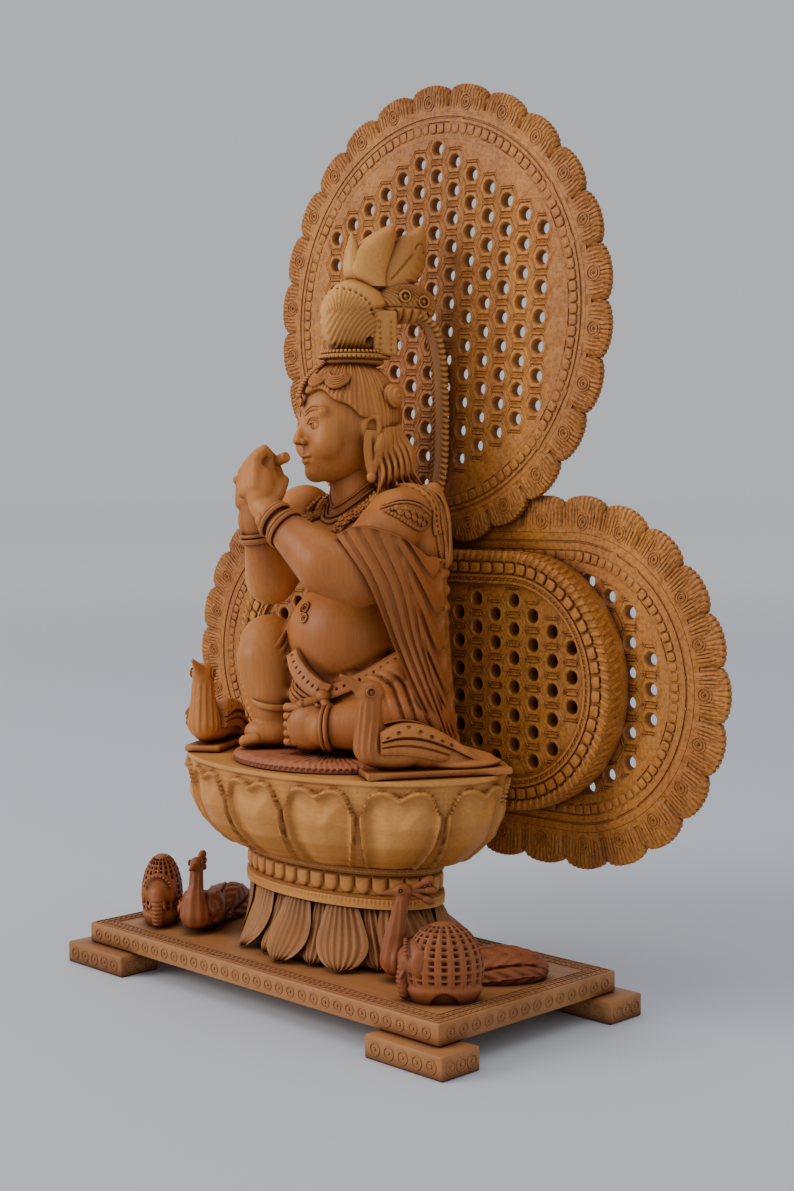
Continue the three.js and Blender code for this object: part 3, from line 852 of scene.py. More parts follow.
def petal_row(total, count, inner, outer, front, depth):
    """Border petals along the strip: narrow cuts that fan out, a ringed eye near the foot."""
    width = total / count
    shares = np.array([0, 0.14, 0.36, 0.56, 0.76, 0.93, 1.0, 1.0, 0.0, 0.0])
    drop, eye_rise = 4.2, 4.6

    def place(u, v):
        row = row_of(v, 9)
        x = (u - 0.5) * width
        aside = np.abs(x) / (width / 2)
        edge = outer - drop * (1 - np.sqrt(np.clip(1 - aside ** 2, 0, 1)))
        z = inner + (edge - inner) * shares[row]
        line = between(0.25, 1.0, np.cos(TURN * np.arctan2(x, z - inner + 2.5) / 0.14))
        line = line * between(3.6, 4.6, np.hypot(x, z - inner - eye_rise)) * (row >= 2)
        y = front + 0.1 + 0.52 * line * (row <= 5) + 0.2 * (row == 5) + 0.55 * (row == 6)
        y = y + 0.8 * between(0.72, 1.0, aside) * ((row >= 1) & (row <= 6))
        y = np.where((row == 7) | (row == 8), front + depth - 0.15, y)
        z = z - 0.5 * line * ((row == 6) | (row == 7))
        return np.column_stack([x, y, z])
    petal = bent_sheet("border_petal", 70, 9, place)
    open_edit(petal)
    bpy.ops.mesh.fill_holes(sides=0)
    bpy.ops.mesh.normals_make_consistent(inside=False)
    bpy.ops.object.mode_set(mode="OBJECT")
    parts = [petal]
    for radius in (3.2, 1.9):
        parts.append(stamp_at(at(0, front + 0.1, inner + eye_rise, 90, 0, 0), radius, 0.36, 0.7))
    return copies("petals", join("border_petal", parts), [at(total * k / count, 0, 0) for k in range(count)])


def border_strip(total, stations, front, back, columns):
    """Closed band: stations are [distance out, height above the front plane]."""
    outs = [station[0] for station in stations]
    lifts = [station[1] for station in stations]
    rows = len(stations) + 1
    loop_out = np.array([*outs, outs[-1], outs[0], outs[0]])
    loop_y = np.array([*[front - lift for lift in lifts], back, back, front - lifts[0]])

    def place(u, v):
        step = row_of(v, rows + 1)
        return np.column_stack([u * total, loop_y[step], loop_out[step]])
    return bent_sheet("border_strip", columns, rows + 1, place)


def cell_edge(turn):
    """Distance from a cell's middle to its six-sided edge."""
    sector = (turn + math.pi / 6) % (math.pi / 3) - math.pi / 6
    return PITCH / 2 / np.cos(sector)


def hole_cell(front, depth, radius, blind):
    """One six-sided cell of the drilled field: a hole with eased edge and cut lines, closed."""
    def place(u, v):
        turn = u * TURN
        edge = cell_edge(turn)
        row = row_of(v, 9)
        rear = radius - 0.6
        first = (0.0, blind) if blind else (rear, depth)
        last = 0.0 if blind else rear
        outs = np.array([first[0], radius - 0.3, radius, radius + 0.5, 0, 0, 0, 0, 0, last])[row]
        downs = np.array([first[1], blind or depth / 2, 0.55, 0, 0, 0, 0, 0, depth, depth])[row]
        inset = np.array([0, 0, 0, 0, 1.75, 1.3, 0.85, 0.0, 0.0, 0])[row]
        outs = np.where((row >= 4) & (row <= 8), edge - inset, outs)
        # Double cuts between neighbouring holes, deepest above and below
        lines = np.where(np.abs(np.cos(turn)) > 0.8, 1.0, 0.5)
        downs = downs + 0.42 * lines * ((row == 5) | (row == 7))
        return np.column_stack([outs * np.sin(turn), front + downs, outs * np.cos(turn)])
    return bent_sheet("hole_cell", 24, 9, place)


def plain_cell(front, depth):
    """A six-sided cell without a hole."""
    def place(u, v):
        turn = u * TURN
        edge = cell_edge(turn)
        step = row_of(v, 5)
        out = np.where((step == 2) | (step == 3), edge, np.where(step == 1, edge - 0.45, 0.0))
        y = np.array([0.0, 0.0, 0.08, depth, depth, depth])[step]
        return np.column_stack([out * np.sin(turn), front + y, out * np.cos(turn)])
    return bent_sheet("plain_cell", 24, 5, place)


def lattice(reach_x, reach_z, turn, keep):
    """Middles of the honeycomb cells that keep(x, z) wants."""
    column = PITCH * math.cos(math.pi / 6)
    spots = []
    for c in range(-int(reach_x / column) - 2, int(reach_x / column) + 3):
        for r in range(-int(reach_z / PITCH) - 2, int(reach_z / PITCH) + 3):
            x0, z0 = c * column, (r + (abs(c) % 2) / 2) * PITCH
            x = x0 * math.cos(turn) - z0 * math.sin(turn)
            z = x0 * math.sin(turn) + z0 * math.cos(turn)
            if keep(x, z):
                spots.append((x, z))
    return spots


def drilled_field(front, depth, holes, others, middle, turn_degrees=0, blind=0.0):
    """Copies of the drilled cell and of the plain one, each kind one piece."""
    pieces = []
    kinds = ((hole_cell(front, depth, HOLE_WIDE, blind), holes), (plain_cell(front, depth), others))
    for master, spots in kinds:
        places = [at(x + middle[0], 0, z + middle[1], 0, -turn_degrees, 0) for x, z in spots]
        pieces.append(copies("field_cells", master, places))
    return pieces


def corner_rings(spots, middle, front, keep):
    """Small punched rings where three cells meet."""
    reach = PITCH / 2 / math.cos(math.pi / 6)
    corners = {}
    for x, z in spots:
        for k in range(6):
            angle = math.radians(30 + 60 * k)
            corner = (x + reach * math.sin(angle), z + reach * math.cos(angle))
            if keep(*corner):
                corners[(round(corner[0]), round(corner[1]))] = corner
    deselect()
    bpy.ops.mesh.primitive_torus_add(
        major_radius=0.8 * MM, minor_radius=0.2 * MM, major_segments=9, minor_segments=4)
    places = [at(x + middle[0], front + 0.02, z + middle[1], 90, 0, 0) for x, z in corners.values()]
    return copies("corner_rings", bpy.context.object, places)


def off_middle(x, z, half_straight):
    """Distance from the middle line of a long oval."""
    return math.hypot(max(0, abs(x) - half_straight), z)


def along_strip(total, count, y, out, *turn):
    """Places evenly along a straight strip."""
    return [at(total * (k + 0.5) / count, y, out, *turn) for k in range(count)]


def strip_beads(total, out, count, half, front):
    """Squarish beads in a row along the strip."""
    return copies("border_beads", bead_master(half), along_strip(total, count, front, out, 90))


def halo():
    """Round screen behind the head, drilled all over inside its petals."""
    total = TURN * HALO_RADIUS
    parts = [petal_row(total, 26, 85.6, HALO_RADIUS, HALO_FRONT, HALO_DEPTH)]
    stations = [
        [74.2, 0], [74.8, 0.45], [76.7, 0.45], [76.9, 0.1], [81.5, 0.1], [81.8, 0.45], [83.0, 0.45],
        [83.2, 0.05], [83.9, 0.05], [84.1, 0.45], [85.6, 0.45], [85.9, -0.1], [88, -0.1],
    ]
    parts.append(border_strip(total, stations, HALO_FRONT + 0.45, HALO_FRONT + HALO_DEPTH, 208))
    parts.append(strip_beads(total, 79.2, 112, (2.6, 2.1, 1.0), HALO_FRONT + 0.6))
    ring = join("halo_ring", parts)
    bend_round(ring, 0.0, HALO_RADIUS, HALO_AT[1], HALO_AT[0])
    reach = 75 - HOLE - 1.2
    tilt = -4
    turn = math.radians(tilt)
    drilled = lattice(75, 75, turn, lambda x, z: math.hypot(x, z) < reach)
    plain = lattice(75, 75, turn, lambda x, z: reach <= math.hypot(x, z) < 80.5)
    front, depth = HALO_FRONT + 0.08, HALO_DEPTH - 0.1
    field = drilled_field(front, depth, drilled, plain, HALO_AT, tilt)
    piece = smooth(join("halo_carved", [ring, *field]), 35)
    finish(piece, SCREEN_WOOD, "screen_wood", "halo_screen")


def back_screen():
    """Long oval screen inside its petals, drilled where the front one doesn't hide it."""
    half = BACK_HALF
    total = 4 * half + TURN * BACK_RADIUS
    parts = [petal_row(total, 36, 60.6, BACK_RADIUS, BACK_FRONT, BACK_DEPTH)]
    stations = [
        [44.6, 0], [45.2, 0.45], [48.8, 0.45], [49.0, 0.1], [53.5, 0.1], [53.7, 0.45],
        [56.4, 0.45], [56.6, 0.0], [57.3, 0.0], [57.5, 0.45], [60.4, 0.45], [60.7, -0.1], [63, -0.1],
    ]
    parts.append(border_strip(total, stations, BACK_FRONT + 0.45, BACK_FRONT + BACK_DEPTH, 300))
    parts.append(strip_beads(total, 51.3, 140, (2.6, 2.0, 1.0), BACK_FRONT + 0.6))
    ring = join("back_ring", parts)
    bend_round(ring, half, BACK_RADIUS)
    front, depth = BACK_FRONT + 0.08, BACK_DEPTH - 0.1
    # The field reaches 12.5 mm in behind the front screen's edge
    hidden = FRONT_RADIUS - 12.5

    def drilled(x, z):
        return off_middle(x, z, half) < 45.6 - HOLE and off_middle(x, z, FRONT_HALF) >= FRONT_RADIUS - 1

    def plain(x, z):
        shown = off_middle(x, z, FRONT_HALF) > hidden
        return shown and off_middle(x, z, half) < 51.5 and not drilled(x, z)
    holes = lattice(half + 46, 46, 0, drilled)
    middle = (0, SCREEN_HEIGHT)
    rings = corner_rings(holes, middle, front, lambda x, z: off_middle(x, z, half) < 44.5)
    field = drilled_field(front, depth, holes, lattice(half + 52, 52, 0, plain), middle)
    # Plain oval plate behind the front screen
    thick = depth - 0.18
    deselect()
    bpy.ops.mesh.primitive_cylinder_add(vertices=96, radius=46.5 * MM, depth=thick * MM)
    hub = bpy.context.object
    points = points_of(hub)
    points[:, 0] += FRONT_HALF * np.where(points[:, 0] > -0.01, 1, -1)
    move_points(hub, points)
    hub.matrix_world = at(0, BACK_FRONT + BACK_DEPTH - 0.01 - thick / 2, SCREEN_HEIGHT, 90, 0, 0)
    settle(hub)
    piece = smooth(join("back_screen_carved", [ring, *field, hub, rings]), 35)
    finish(piece, SCREEN_WOOD, "screen_wood", "back_screen")


def front_screen():
    """Smaller long oval screen with a thick milled rim."""
    half = FRONT_HALF
    total = 4 * half + TURN * FRONT_RADIUS
    stations = [
        [38.4, -1.5], [39.4, -1.5], [39.7, 0.2], [40.6, 0.2], [40.9, -0.3], [41.9, -0.3], [42.2, 0.3],
        [43.2, 0.3], [43.5, -0.4], [48.6, -0.4], [48.9, 0.1], [49.6, 0.3], [51.6, 0.3], [52.3, -0.5],
    ]
    parts = [
        border_strip(total, stations, FRONT_FRONT + 0.4, FRONT_FRONT + FRONT_DEPTH, 240),
        strip_beads(total, 46.1, 88, (2.7, 2.2, 1.1), FRONT_FRONT + 0.7),
    ]
    # Nicks on the milled rim and on the wall behind it, and fine ticks round the field
    for name, size, count, behind, out, turn in (
        ("milled_rim", (1.25, 2.5, 1.1), 160, 0.4, 50.6, (90, 28, 0)),
        ("milled_wall", (1.2, 4.4, 0.9), 160, 5.2, 52.1, (0, 0, 20)),
        ("fine_ticks", (0.5, 1.3, 0.4), 150, 0.6, 41.4, (90, 40, 0)),
    ):
        places = along_strip(total, count, FRONT_FRONT + behind, out, *turn)
        parts.append(copies(name, nick_master(size), places))
    ring = bend_round(join("front_ring", parts), half, FRONT_RADIUS)
    middle = (0, SCREEN_HEIGHT)
    front, depth = FRONT_FRONT + 2.2, FRONT_DEPTH - 2.6
    shift_z = -2.5

    def drilled(x, z):
        return off_middle(x, z + shift_z, half) < 39.5 - HOLE - 0.4

    def plain(x, z):
        return not drilled(x, z) and off_middle(x, z + shift_z, half) < 45
    holes = [(x, z + shift_z) for x, z in lattice(half + 40, 42, 0, drilled)]
    others = [(x, z + shift_z) for x, z in lattice(half + 48, 50, 0, plain)]
    field = drilled_field(front, depth, holes, others, middle, blind=8.0)
    rings = corner_rings(holes, middle, front, lambda x, z: off_middle(x, z, half) < 38.5)
    piece = smooth(join("front_screen_carved", [ring, *field, rings]), 35)
    finish(piece, SCREEN_WOOD, "screen_wood", "front_screen")


# The figure. Its points are counted from its own seat, and it is lifted onto the mat at the end
SEAT_LEVEL = MAT_BOTTOM + MAT_HEIGHT + SEAM
HEAD_AT, HEAD_TURN = (1, 6, 133), -19
CROWN_AT, CROWN_TURN = (1, 6, 0), -24.3
FLUTE_NEAR, FLUTE_WAY, FLUTE_LENGTH = (-5, -24, 119), (-26, -1, -8), 29


def capsule(start, first, end, last, across=20, up=12):
    """Two balls and the hull round them."""
    ends = [ball(*spot, (size,) * 3, across=across, up=up) for spot, size in ((start, first), (end, last))]
    piece = join("capsule", ends)
    open_edit(piece)
    bpy.ops.mesh.convex_hull()
    bpy.ops.object.mode_set(mode="OBJECT")
    return piece


def chain(*stops):
    """Capsules from stop to stop; a stop is x, y, z and radius."""
    return [capsule(a[:3], a[3], b[:3], b[3]) for a, b in zip(stops, stops[1:])]


def fuse(name, pieces, voxel, rounds):
    """Masses melted into one skin, with their creases eased."""
    piece = join(name, pieces)
    modify(piece, "REMESH", mode="VOXEL", voxel_size=voxel * MM, use_smooth_shade=True)
    return modify(piece, "SMOOTH", factor=0.5, iterations=rounds)


def cut_off(piece, place, normal):
    """What lies past a plane is cut off and the cut is closed."""
    open_edit(piece)
    bpy.ops.mesh.bisect(
        plane_co=Vector(place) * MM, plane_no=normal, use_fill=True, clear_outer=True)
    bpy.ops.object.mode_set(mode="OBJECT")
    return piece


def turned(piece, place, degrees):
    """Turned about Z, then moved to its place."""
    piece.matrix_world = at(*place, 0, 0, degrees)
    return settle(piece)


def along_path(stops, count, closed=False):
    """Even points on a smooth line through the stops."""
    stops = np.array(stops, float)
    if closed:
        stops = np.vstack([stops[-1], stops, stops[0], stops[1]])
    else:
        stops = np.vstack([2 * stops[0] - stops[1], stops, 2 * stops[-1] - stops[-2]])
    line = []
    for a, b, c, d in zip(stops, stops[1:], stops[2:], stops[3:]):
        for t in np.linspace(0, 1, 24, endpoint=False):
            bend = (2 * a - 5 * b + 4 * c - d) * t ** 2 + (3 * b - a - 3 * c + d) * t ** 3
            line.append(0.5 * (2 * b + (c - a) * t + bend))
    line.append(stops[-2])
    line = np.array(line)
    run = np.concatenate([[0], np.cumsum(np.linalg.norm(np.diff(line, axis=0), axis=1))])
    even = np.linspace(0, run[-1], count, endpoint=not closed)
    return columns_at(even, run, line)


def laid_on(base, points, rise):
    """Points dropped on a surface, with the way out of it at each."""
    spots, ways = [], []
    for point in points:
        _, spot, way, _ = base.closest_point_on_mesh(Vector(point) * MM)
        spots.append(np.array(spot) / MM + np.array(way) * rise)
        ways.append(np.array(way))
    return np.array(spots), np.array(ways)


def facing(spot, way, ahead):
    """Place of a copy whose Z leaves the surface and whose X runs along the line."""
    z = Vector(way).normalized()
    x = Vector(ahead)
    x = (x - z * x.dot(z)).normalized()
    y = z.cross(x)
    turn = Matrix((x, y, z)).transposed().to_4x4()
    return Matrix.Translation(Vector(spot) * MM) @ turn


def row_on(base, stops, count, master, rise, closed=False):
    """Copies of a small master along a line on a surface."""
    spots, ways = laid_on(base, along_path(stops, count, closed), rise)
    ahead = np.gradient(spots, axis=0)
    return copies("row", master, [facing(s, w, a) for s, w, a in zip(spots, ways, ahead)])


def cord_on(base, stops, radius, rise, count=40, around=8):
    """A rolled cord along a line on a surface."""
    spots, _ = laid_on(base, along_path(stops, count), rise)
    return rod(list(spots), [radius] * len(spots), around)


def flower_master(radius):
    """A small flower of the garland: a ring of round lobes with a bead in it."""
    def place(u, v):
        turn = u * TURN
        row = row_of(v, 5)
        lobes = 1 + 0.1 * np.cos(turn * 4) * (row > 1)
        out = np.array([0.001, 0.34, 0.48, 0.95, 0.85, 0.001])[row] * radius * lobes
        z = np.array([0.72, 0.55, 0.25, 0.12, -0.5, -0.5])[row] * radius
        return np.column_stack([out * np.cos(turn), out * np.sin(turn), z])
    return bent_sheet("flower", 12, 5, place)


def body_skin():
    """Trunk, arms and legs, before the hands and feet are added."""
    masses = [
        ball(6, 13, 16, (34, 22, 17)), ball(3, 3, 47, (25.5, 22.5, 22), across=32, up=18),
        ball(4, 10, 80, (27, 17, 22)), ball(4, 12, 92, (30, 12, 12)),
        ball(-8, -3, 84, (12, 8, 10)), ball(14, -3, 84, (12, 8, 10)),
        capsule((4, 10, 98), 11, (2, 8, 114), 9.5),
        # Right leg: thigh up to the raised knee, full calf, foot flat
        capsule((-12, 10, 18), 15, (-27, -13, 42), 12.5),
        capsule((-25.5, -15.5, 36), 13, (-20, -17.5, 15), 9),
        capsule((-19, -17, 14), 6.5, (-15, -15, 5), 6.5),
        # Left leg folded flat
        *chain((20, 16, 18, 17), (42, 5, 15, 14.5), (32, -9, 13, 12), (17, -21, 11, 8)),
        # Left arm
        *chain((31, 6, 94, 13), (34, -17, 74, 14), (24, -26, 77, 12.5), (3, -31, 92, 7)),
        # Right arm
        *chain((-27, 8, 96, 13), (-29, -10, 69, 11), (-24, -20, 85, 6.5)),
        # Shawl's mass behind the left arm, and the back
        ball(31, 12, 97, (13, 13, 11)), capsule((31, 15, 92), 12, (33, 21, 8), 12),
        *chain((37, 21, 106, 4), (40, 22, 95, 4.6), (40.5, 22.5, 78, 4.6)),
        slab(-20, 20, 2, 42, 24, 92, 3), ball(0, -8, 8, (15, 13, 9)), ball(4, -9, 18, (15, 11, 11)),
        # Gathered cloth under the belly, to both sides
        ball(-2, -10, 30, (10, 8.5, 11)), *chain((10, -11, 20, 7.5), (22, -4, 24, 7.5), (34, 4, 32, 7.5)),
        ball(2, -16, 22, (12, 6, 6)),
    ]
    return fuse("body_skin", masses, 1.1, 12)


def hand(palm, wrist, knuckles, thumb):
    """A fist on the flute: palm, four fingers over the rod and a thumb below it."""
    x, y, z = palm
    parts = [
        ball(x, y, z, (6.0, 5.2, 11), (0, 6, 12)), ball(x - 0.6, y + 4.2, z + 2, (5.4, 5.6, 9.5)),
        capsule(wrist, 6.2, (x, y + 1, z - 5), 6.0),
    ]
    for k, (finger, top) in enumerate(knuckles):
        parts += chain(
            (finger + 0.6, y - 3.6, z + 3 - k, 2.5), (finger, y - 2.6, top - 4.6, 2.35),
            (finger - 0.1, y + 1.5, top - 1.2, 2.3), (finger - 0.1, y + 6.2, top - 5, 2.2),
            (finger + 0.1, y + 9.2, top - 11, 2.1), (finger + 0.3, y + 9.6, top - 16, 1.9))
    return parts + chain(*thumb)


def toes():
    """Toes of both feet, the right ones on the mat and the left ones one above the other."""
    parts = []
    for k, size in enumerate((2.7, 2.15, 2.0, 1.85, 1.65)):
        across = 5.8 - (0, 4.2, 7.6, 10.6, 13.2)[k]
        parts += chain((-22.8 + 0.67 * across, -22.8 - 0.74 * across, 4.2, size),
                       (-26.6 + 0.67 * across + 0.4 * k, -25.8 - 0.74 * across + 0.3 * k, size + 0.1, size))
        z = 18.6 - 3.5 * k
        parts.append(capsule((6, -24.6, z), 1.95, (0.2, -26.6, z), 1.85))
    return parts


def hands_and_feet():
    """Both hands on the flute, and both feet."""
    left_hand = hand(
        (-9.4, -31.2, 105.5), (1, -30.5, 93), ((-9.0, 124), (-12, 123), (-14.8, 121), (-17.4, 118.5)),
        ((-5, -30, 100, 3.4), (-4.6, -25.5, 106, 2.7), (-6.4, -21.6, 110.5, 2.3)))
    right_hand = hand(
        (-22.6, -23.6, 101), (-23.6, -20, 87), ((-20.6, 119), (-23.2, 118), (-25.8, 116.5), (-28, 114.5)),
        ((-17.5, -21, 98, 3), (-17.2, -18, 104, 2.5), (-18.5, -16, 108, 2.2)))
    # Right foot flat on the mat, its toes to the front; left foot on its side
    feet = [
        ball(-18.5, -19.5, 6.2, (11.5, 7.2, 6.4), (0, 0, 42)),
        ball(-22, -22.6, 4.0, (6, 7.6, 4.0), (0, 0, 42)),
        ball(9.4, -21.4, 11, (11.2, 6.0, 10.2), (0, 0, 28)),
        ball(5.2, -22.8, 11, (5.4, 5.0, 10.2), (0, 0, 28)),
    ]
    # Pads and heels of the hands
    pads = [
        ball(-11, -26.5, 117, (4.5, 4, 3.6)), ball(-22, -20, 112.5, (4, 3.6, 3.4)),
        ball(-26.6, -24, 95, (4.2, 4.2, 7.5), (0, 12, 0)),
    ]
    return left_hand + right_hand + feet + pads


def figure_body():
    """Body with its hands and feet, cut flat at the screen and at the mat."""
    skin = fuse("figure_body", [body_skin(), *hands_and_feet()], 0.8, 3)
    skin = cut_off(cut_off(skin, (0, FRONT_FRONT - SEAM, 0), (0, 1, 0)), (0, 0, 0.1), (0, 0, -1))
    points = points_of(skin)
    x, y, z = points.T
    way = np.zeros(len(points) * 3, np.float32)
    skin.data.vertices.foreach_get("normal", way)
    way = way.reshape(-1, 3)
    # Folds of the cloth over the bent left leg
    rear = y + 0.1 * x + 0.05 * z
    on_lap = between(-6.5, -4, rear) * (1 - between(20, 24, rear))
    on_lap = on_lap * between(22, 28, x + 0.5 * z) * (1 - between(31, 35, z))
    wrap = np.sqrt((x - 24) ** 2 + (y + 16) ** 2 + (z - 8) ** 2)
    shift = on_lap * (0.7 - 1.3 * between(0.2, 1.0, np.cos(wrap * TURN / 3.9)))
    move_points(skin, points + way * shift[:, None])
    return skin


def spline_grid(grid, u, v):
    """Smooth surface through a grid of points: rows follow v, columns follow u."""
    grid = np.array(grid, float)

    def weights(share, count):
        spot = np.clip(share, 0, 1) * (count - 1)
        first = np.minimum(spot.astype(int), count - 2)
        t = spot - first
        parts = (
            (-0.5 * t + t ** 2 - 0.5 * t ** 3), (1 - 2.5 * t ** 2 + 1.5 * t ** 3),
            (0.5 * t + 2 * t ** 2 - 1.5 * t ** 3), (-0.5 * t ** 2 + 0.5 * t ** 3),
        )
        spots = [np.clip(first + k, 0, count - 1) for k in (-1, 0, 1, 2)]
        return list(zip(spots, parts))
    total = 0
    for row, row_weight in weights(v, grid.shape[0]):
        for column, column_weight in weights(u, grid.shape[1]):
            total = total + grid[row, column] * (row_weight * column_weight)[:, None]
    return total


SHAWL = (
    ((32, -28.5, 89), (40, -23, 92.5), (49, -9.5, 88), (47.5, 4, 82), (46, 14, 79), (43, 23, 78)),
    ((47, -26, 72), (51.5, -16, 70), (52.5, -4, 67), (50.5, 7, 64), (48, 15, 62), (43.5, 23, 61)),
    ((46, -11, 46), (50, -5, 46), (51.5, 2, 45), (50, 9, 44), (47.5, 16, 43), (43, 23, 42)),
    ((52, -5, 25), (55.5, 0, 24), (55.5, 6, 23), (53, 12, 22), (49.5, 18, 21), (45, 24, 21)),
    ((56, 7, 2), (57, 10, 0.6), (56, 14, 0.5), (53, 18, 0.5), (50, 22, 0.5), (46, 26, 0.5)),
)


def shawl():
    """Cloth that crosses the upper arm and falls in folds behind the knee."""
    centre = np.array([30, 12, 0])

    def place(u, v):
        # The sheet's loop: outside from front to back edge, then inside back to the front
        outside = u <= 0.66
        across = np.where(outside, u / 0.66, (1 - u) / 0.34)
        down = np.clip((v - 0.03) / 0.94, 0, 1)
        surface = spline_grid(SHAWL, across, down)
        inward = centre - surface
        inward[:, 2] = 0
        inward = inward / np.linalg.norm(inward, axis=1)[:, None]
        # Long folds along the front edge, sagging folds behind them, pleats at the back edge
        spread = across * 11 + 0.5 * np.sin(down * 3.2)
        long_fold = (0.5 - 1.2 * between(-0.1, 1.0, np.cos(TURN * spread))) * (1 - between(0.3, 0.46, across))
        hang = np.sin(math.pi * np.clip((across - 0.28) / 0.62, 0, 1))
        sag = down * 5.2 - 1.3 * hang - 2.0 * (across - 0.3)
        sag_fold = 0.6 - 1.6 * between(-0.1, 1.0, np.cos(TURN * sag))
        sag_fold = sag_fold * between(0.3, 0.46, across) * (1 - between(0.8, 0.9, across))
        pleat = np.cos(TURN * (down * 11 + 0.9 * across)) * between(0.8, 0.88, across)
        stitch = 0.25 * np.cos(TURN * down * 70) * ridge(across, 0.83, 0.05)
        relief = (0.75 * long_fold + 1.1 * sag_fold + 0.7 * pleat + stitch) * between(0.0, 0.03, down)
        relief = relief + 0.7 * ridge(down, 0.0, 0.03) + 0.5 * ridge(across, 0.0, 0.03)
        depth = np.where(outside, -relief, 6.0)
        depth = np.where((v < 0.03) | (v > 0.97), np.where(outside, 2.5, 3.5), depth)
        return surface + inward * depth[:, None]
    return bent_sheet("shawl", 190, 170, place)


def rolled_ring(middle, way, half, thick):
    """A ring of cloth or metal round a limb, across a direction."""
    way = Vector(way).normalized()
    side = way.orthogonal().normalized()
    other = way.cross(side)
    count = 28
    points = []
    for k in range(count + 2):
        turn = k / count * TURN
        spoke = np.array(side) * math.cos(turn) + np.array(other) * math.sin(turn)
        points.append(np.array(middle) + half * spoke)
    return rod(points, [thick] * len(points), 10)


def band_on(base, stops, width, dots, thick=1.3, rise=0.2, ways=None):
    """A strap on a surface, or on its own path, with rolled edges and a row of punched dots."""
    count = 60
    line = along_path(stops, count)
    if ways is None:
        spots, ways = laid_on(base, line, rise)
    else:
        spots = line
        ways = columns_at(np.linspace(0, 1, count), np.linspace(0, 1, len(ways)), np.array(ways))
        ways /= np.linalg.norm(ways, axis=1)[:, None]
    ahead = np.gradient(spots, axis=0)
    across = np.cross(ways, ahead)
    across /= np.linalg.norm(across, axis=1)[:, None]

    def place(u, v):
        spot, way, side = (columns_at(v * (count - 1), range(count), part) for part in (spots, ways, across))
        outside = u <= 0.7
        share = np.where(outside, u / 0.7 * 2 - 1, (1 - u) / 0.3 * 2 - 1)
        punched = np.hypot(share * width / 2, ((v * dots) % 1 - 0.5) * count / dots * 0.8)
        height = thick * (1 - 0.35 * share ** 2) + 0.4 * ridge(np.abs(share), 0.84, 0.16)
        height = height - 1.1 * (1 - between(0.4, 0.9, punched))
        height = np.where(outside & (v > 0) & (v < 1), height, -2.2)
        return spot + side * (share * width / 2)[:, None] + way * height[:, None]
    return bent_sheet("band", 30, 130, place)


def garland(body):
    """Rope of small flowers round the neck, with three rows of beads inside it."""
    stops = [
        (17, 19, 109), (21.5, 10, 108), (20, 4, 104), (16.5, 1.5, 99), (14.5, -4, 94),
        (13, -11, 88), (9, -15, 82), (4, -16, 79), (-3, -15, 82), (-8, -10, 89),
        (-11, -2, 97), (-11, 10, 105), (-7, 20, 109),
    ]
    parts = [cord_on(body, stops, 2.5, 0.6, count=60, around=10)]
    for side in (-2.3, 0, 2.3):
        row = [(x - 0.5 * side, y - 0.3 * side, z + side * 0.8) for x, y, z in stops]
        parts.append(row_on(body, row, 54, flower_master(1.45), 2.9 if side == 0 else 1.9))
    collar = [
        (14, 14, 109), (14, 4, 104), (8, -1.5, 98.5), (1, -3, 96), (-5, -2, 98), (-10, 3, 104), (-8, 12, 109),
    ]
    for shift, size in ((3.4, 0.55), (0, 0.7), (-3.4, 0.95)):
        beads = ball(0, 0, 0, (size,) * 3, across=8, up=5)
        parts.append(row_on(body, [(x, y, z + shift) for x, y, z in collar], 52, beads, 0.3))
    return parts


def shoulder_trim(body):
    """Border of the cloth over the shoulder with thin folds, and the armlet below it."""
    border = [(18, 13, 110), (25, 10, 109.5), (33, 12, 107), (40, 14.5, 100), (42.5, 17, 88)]
    parts = [band_on(body, border, 4.4, 17, 0.9, 0.1)]
    for side in (-3.0, 3.2, 5.4):
        fold = [
            (17 + 0.2 * side, 15 + side, 110), (26, 12 + side, 110), (33.5, 13.5 + side, 107),
            (40, 16 + side, 100), (42.5, 19 + side * 0.6, 86), (43, 20 + side * 0.3, 74)]
        parts.append(cord_on(body, fold, 0.9, 0.1, count=60))
    # Armlet: an oval of small flowers in a row of beads, with thin folds above it
    for lift_z, first in ((1.3, 0), (-1.4, 1)):
        row = [(40.5, -3 + first, 98 + lift_z), (43, 2.5, 96.3 + lift_z), (44, 9.5 - first, 94 + lift_z)]
        parts.append(row_on(body, row, 5, flower_master(1.5), 0.3))
    armlet = [(38.5, -7, 98), (42, -1.5, 99), (43.5, 5, 97.5), (43, 12, 93), (44, 6, 90.5), (44, -1, 93)]
    parts.append(row_on(body, armlet, 34, ball(0, 0, 0, (0.95, 0.95, 0.8), across=8, up=5), 0.2, closed=True))
    for rise in (3.0, 5.2):
        fold = [(36.5, -9, 98 + rise), (41, -1.5, 99.5 + rise), (42.5, 6, 97.5 + rise), (43.5, 13, 93 + rise)]
        parts.append(cord_on(body, fold, 0.7, 0.0))
    return parts


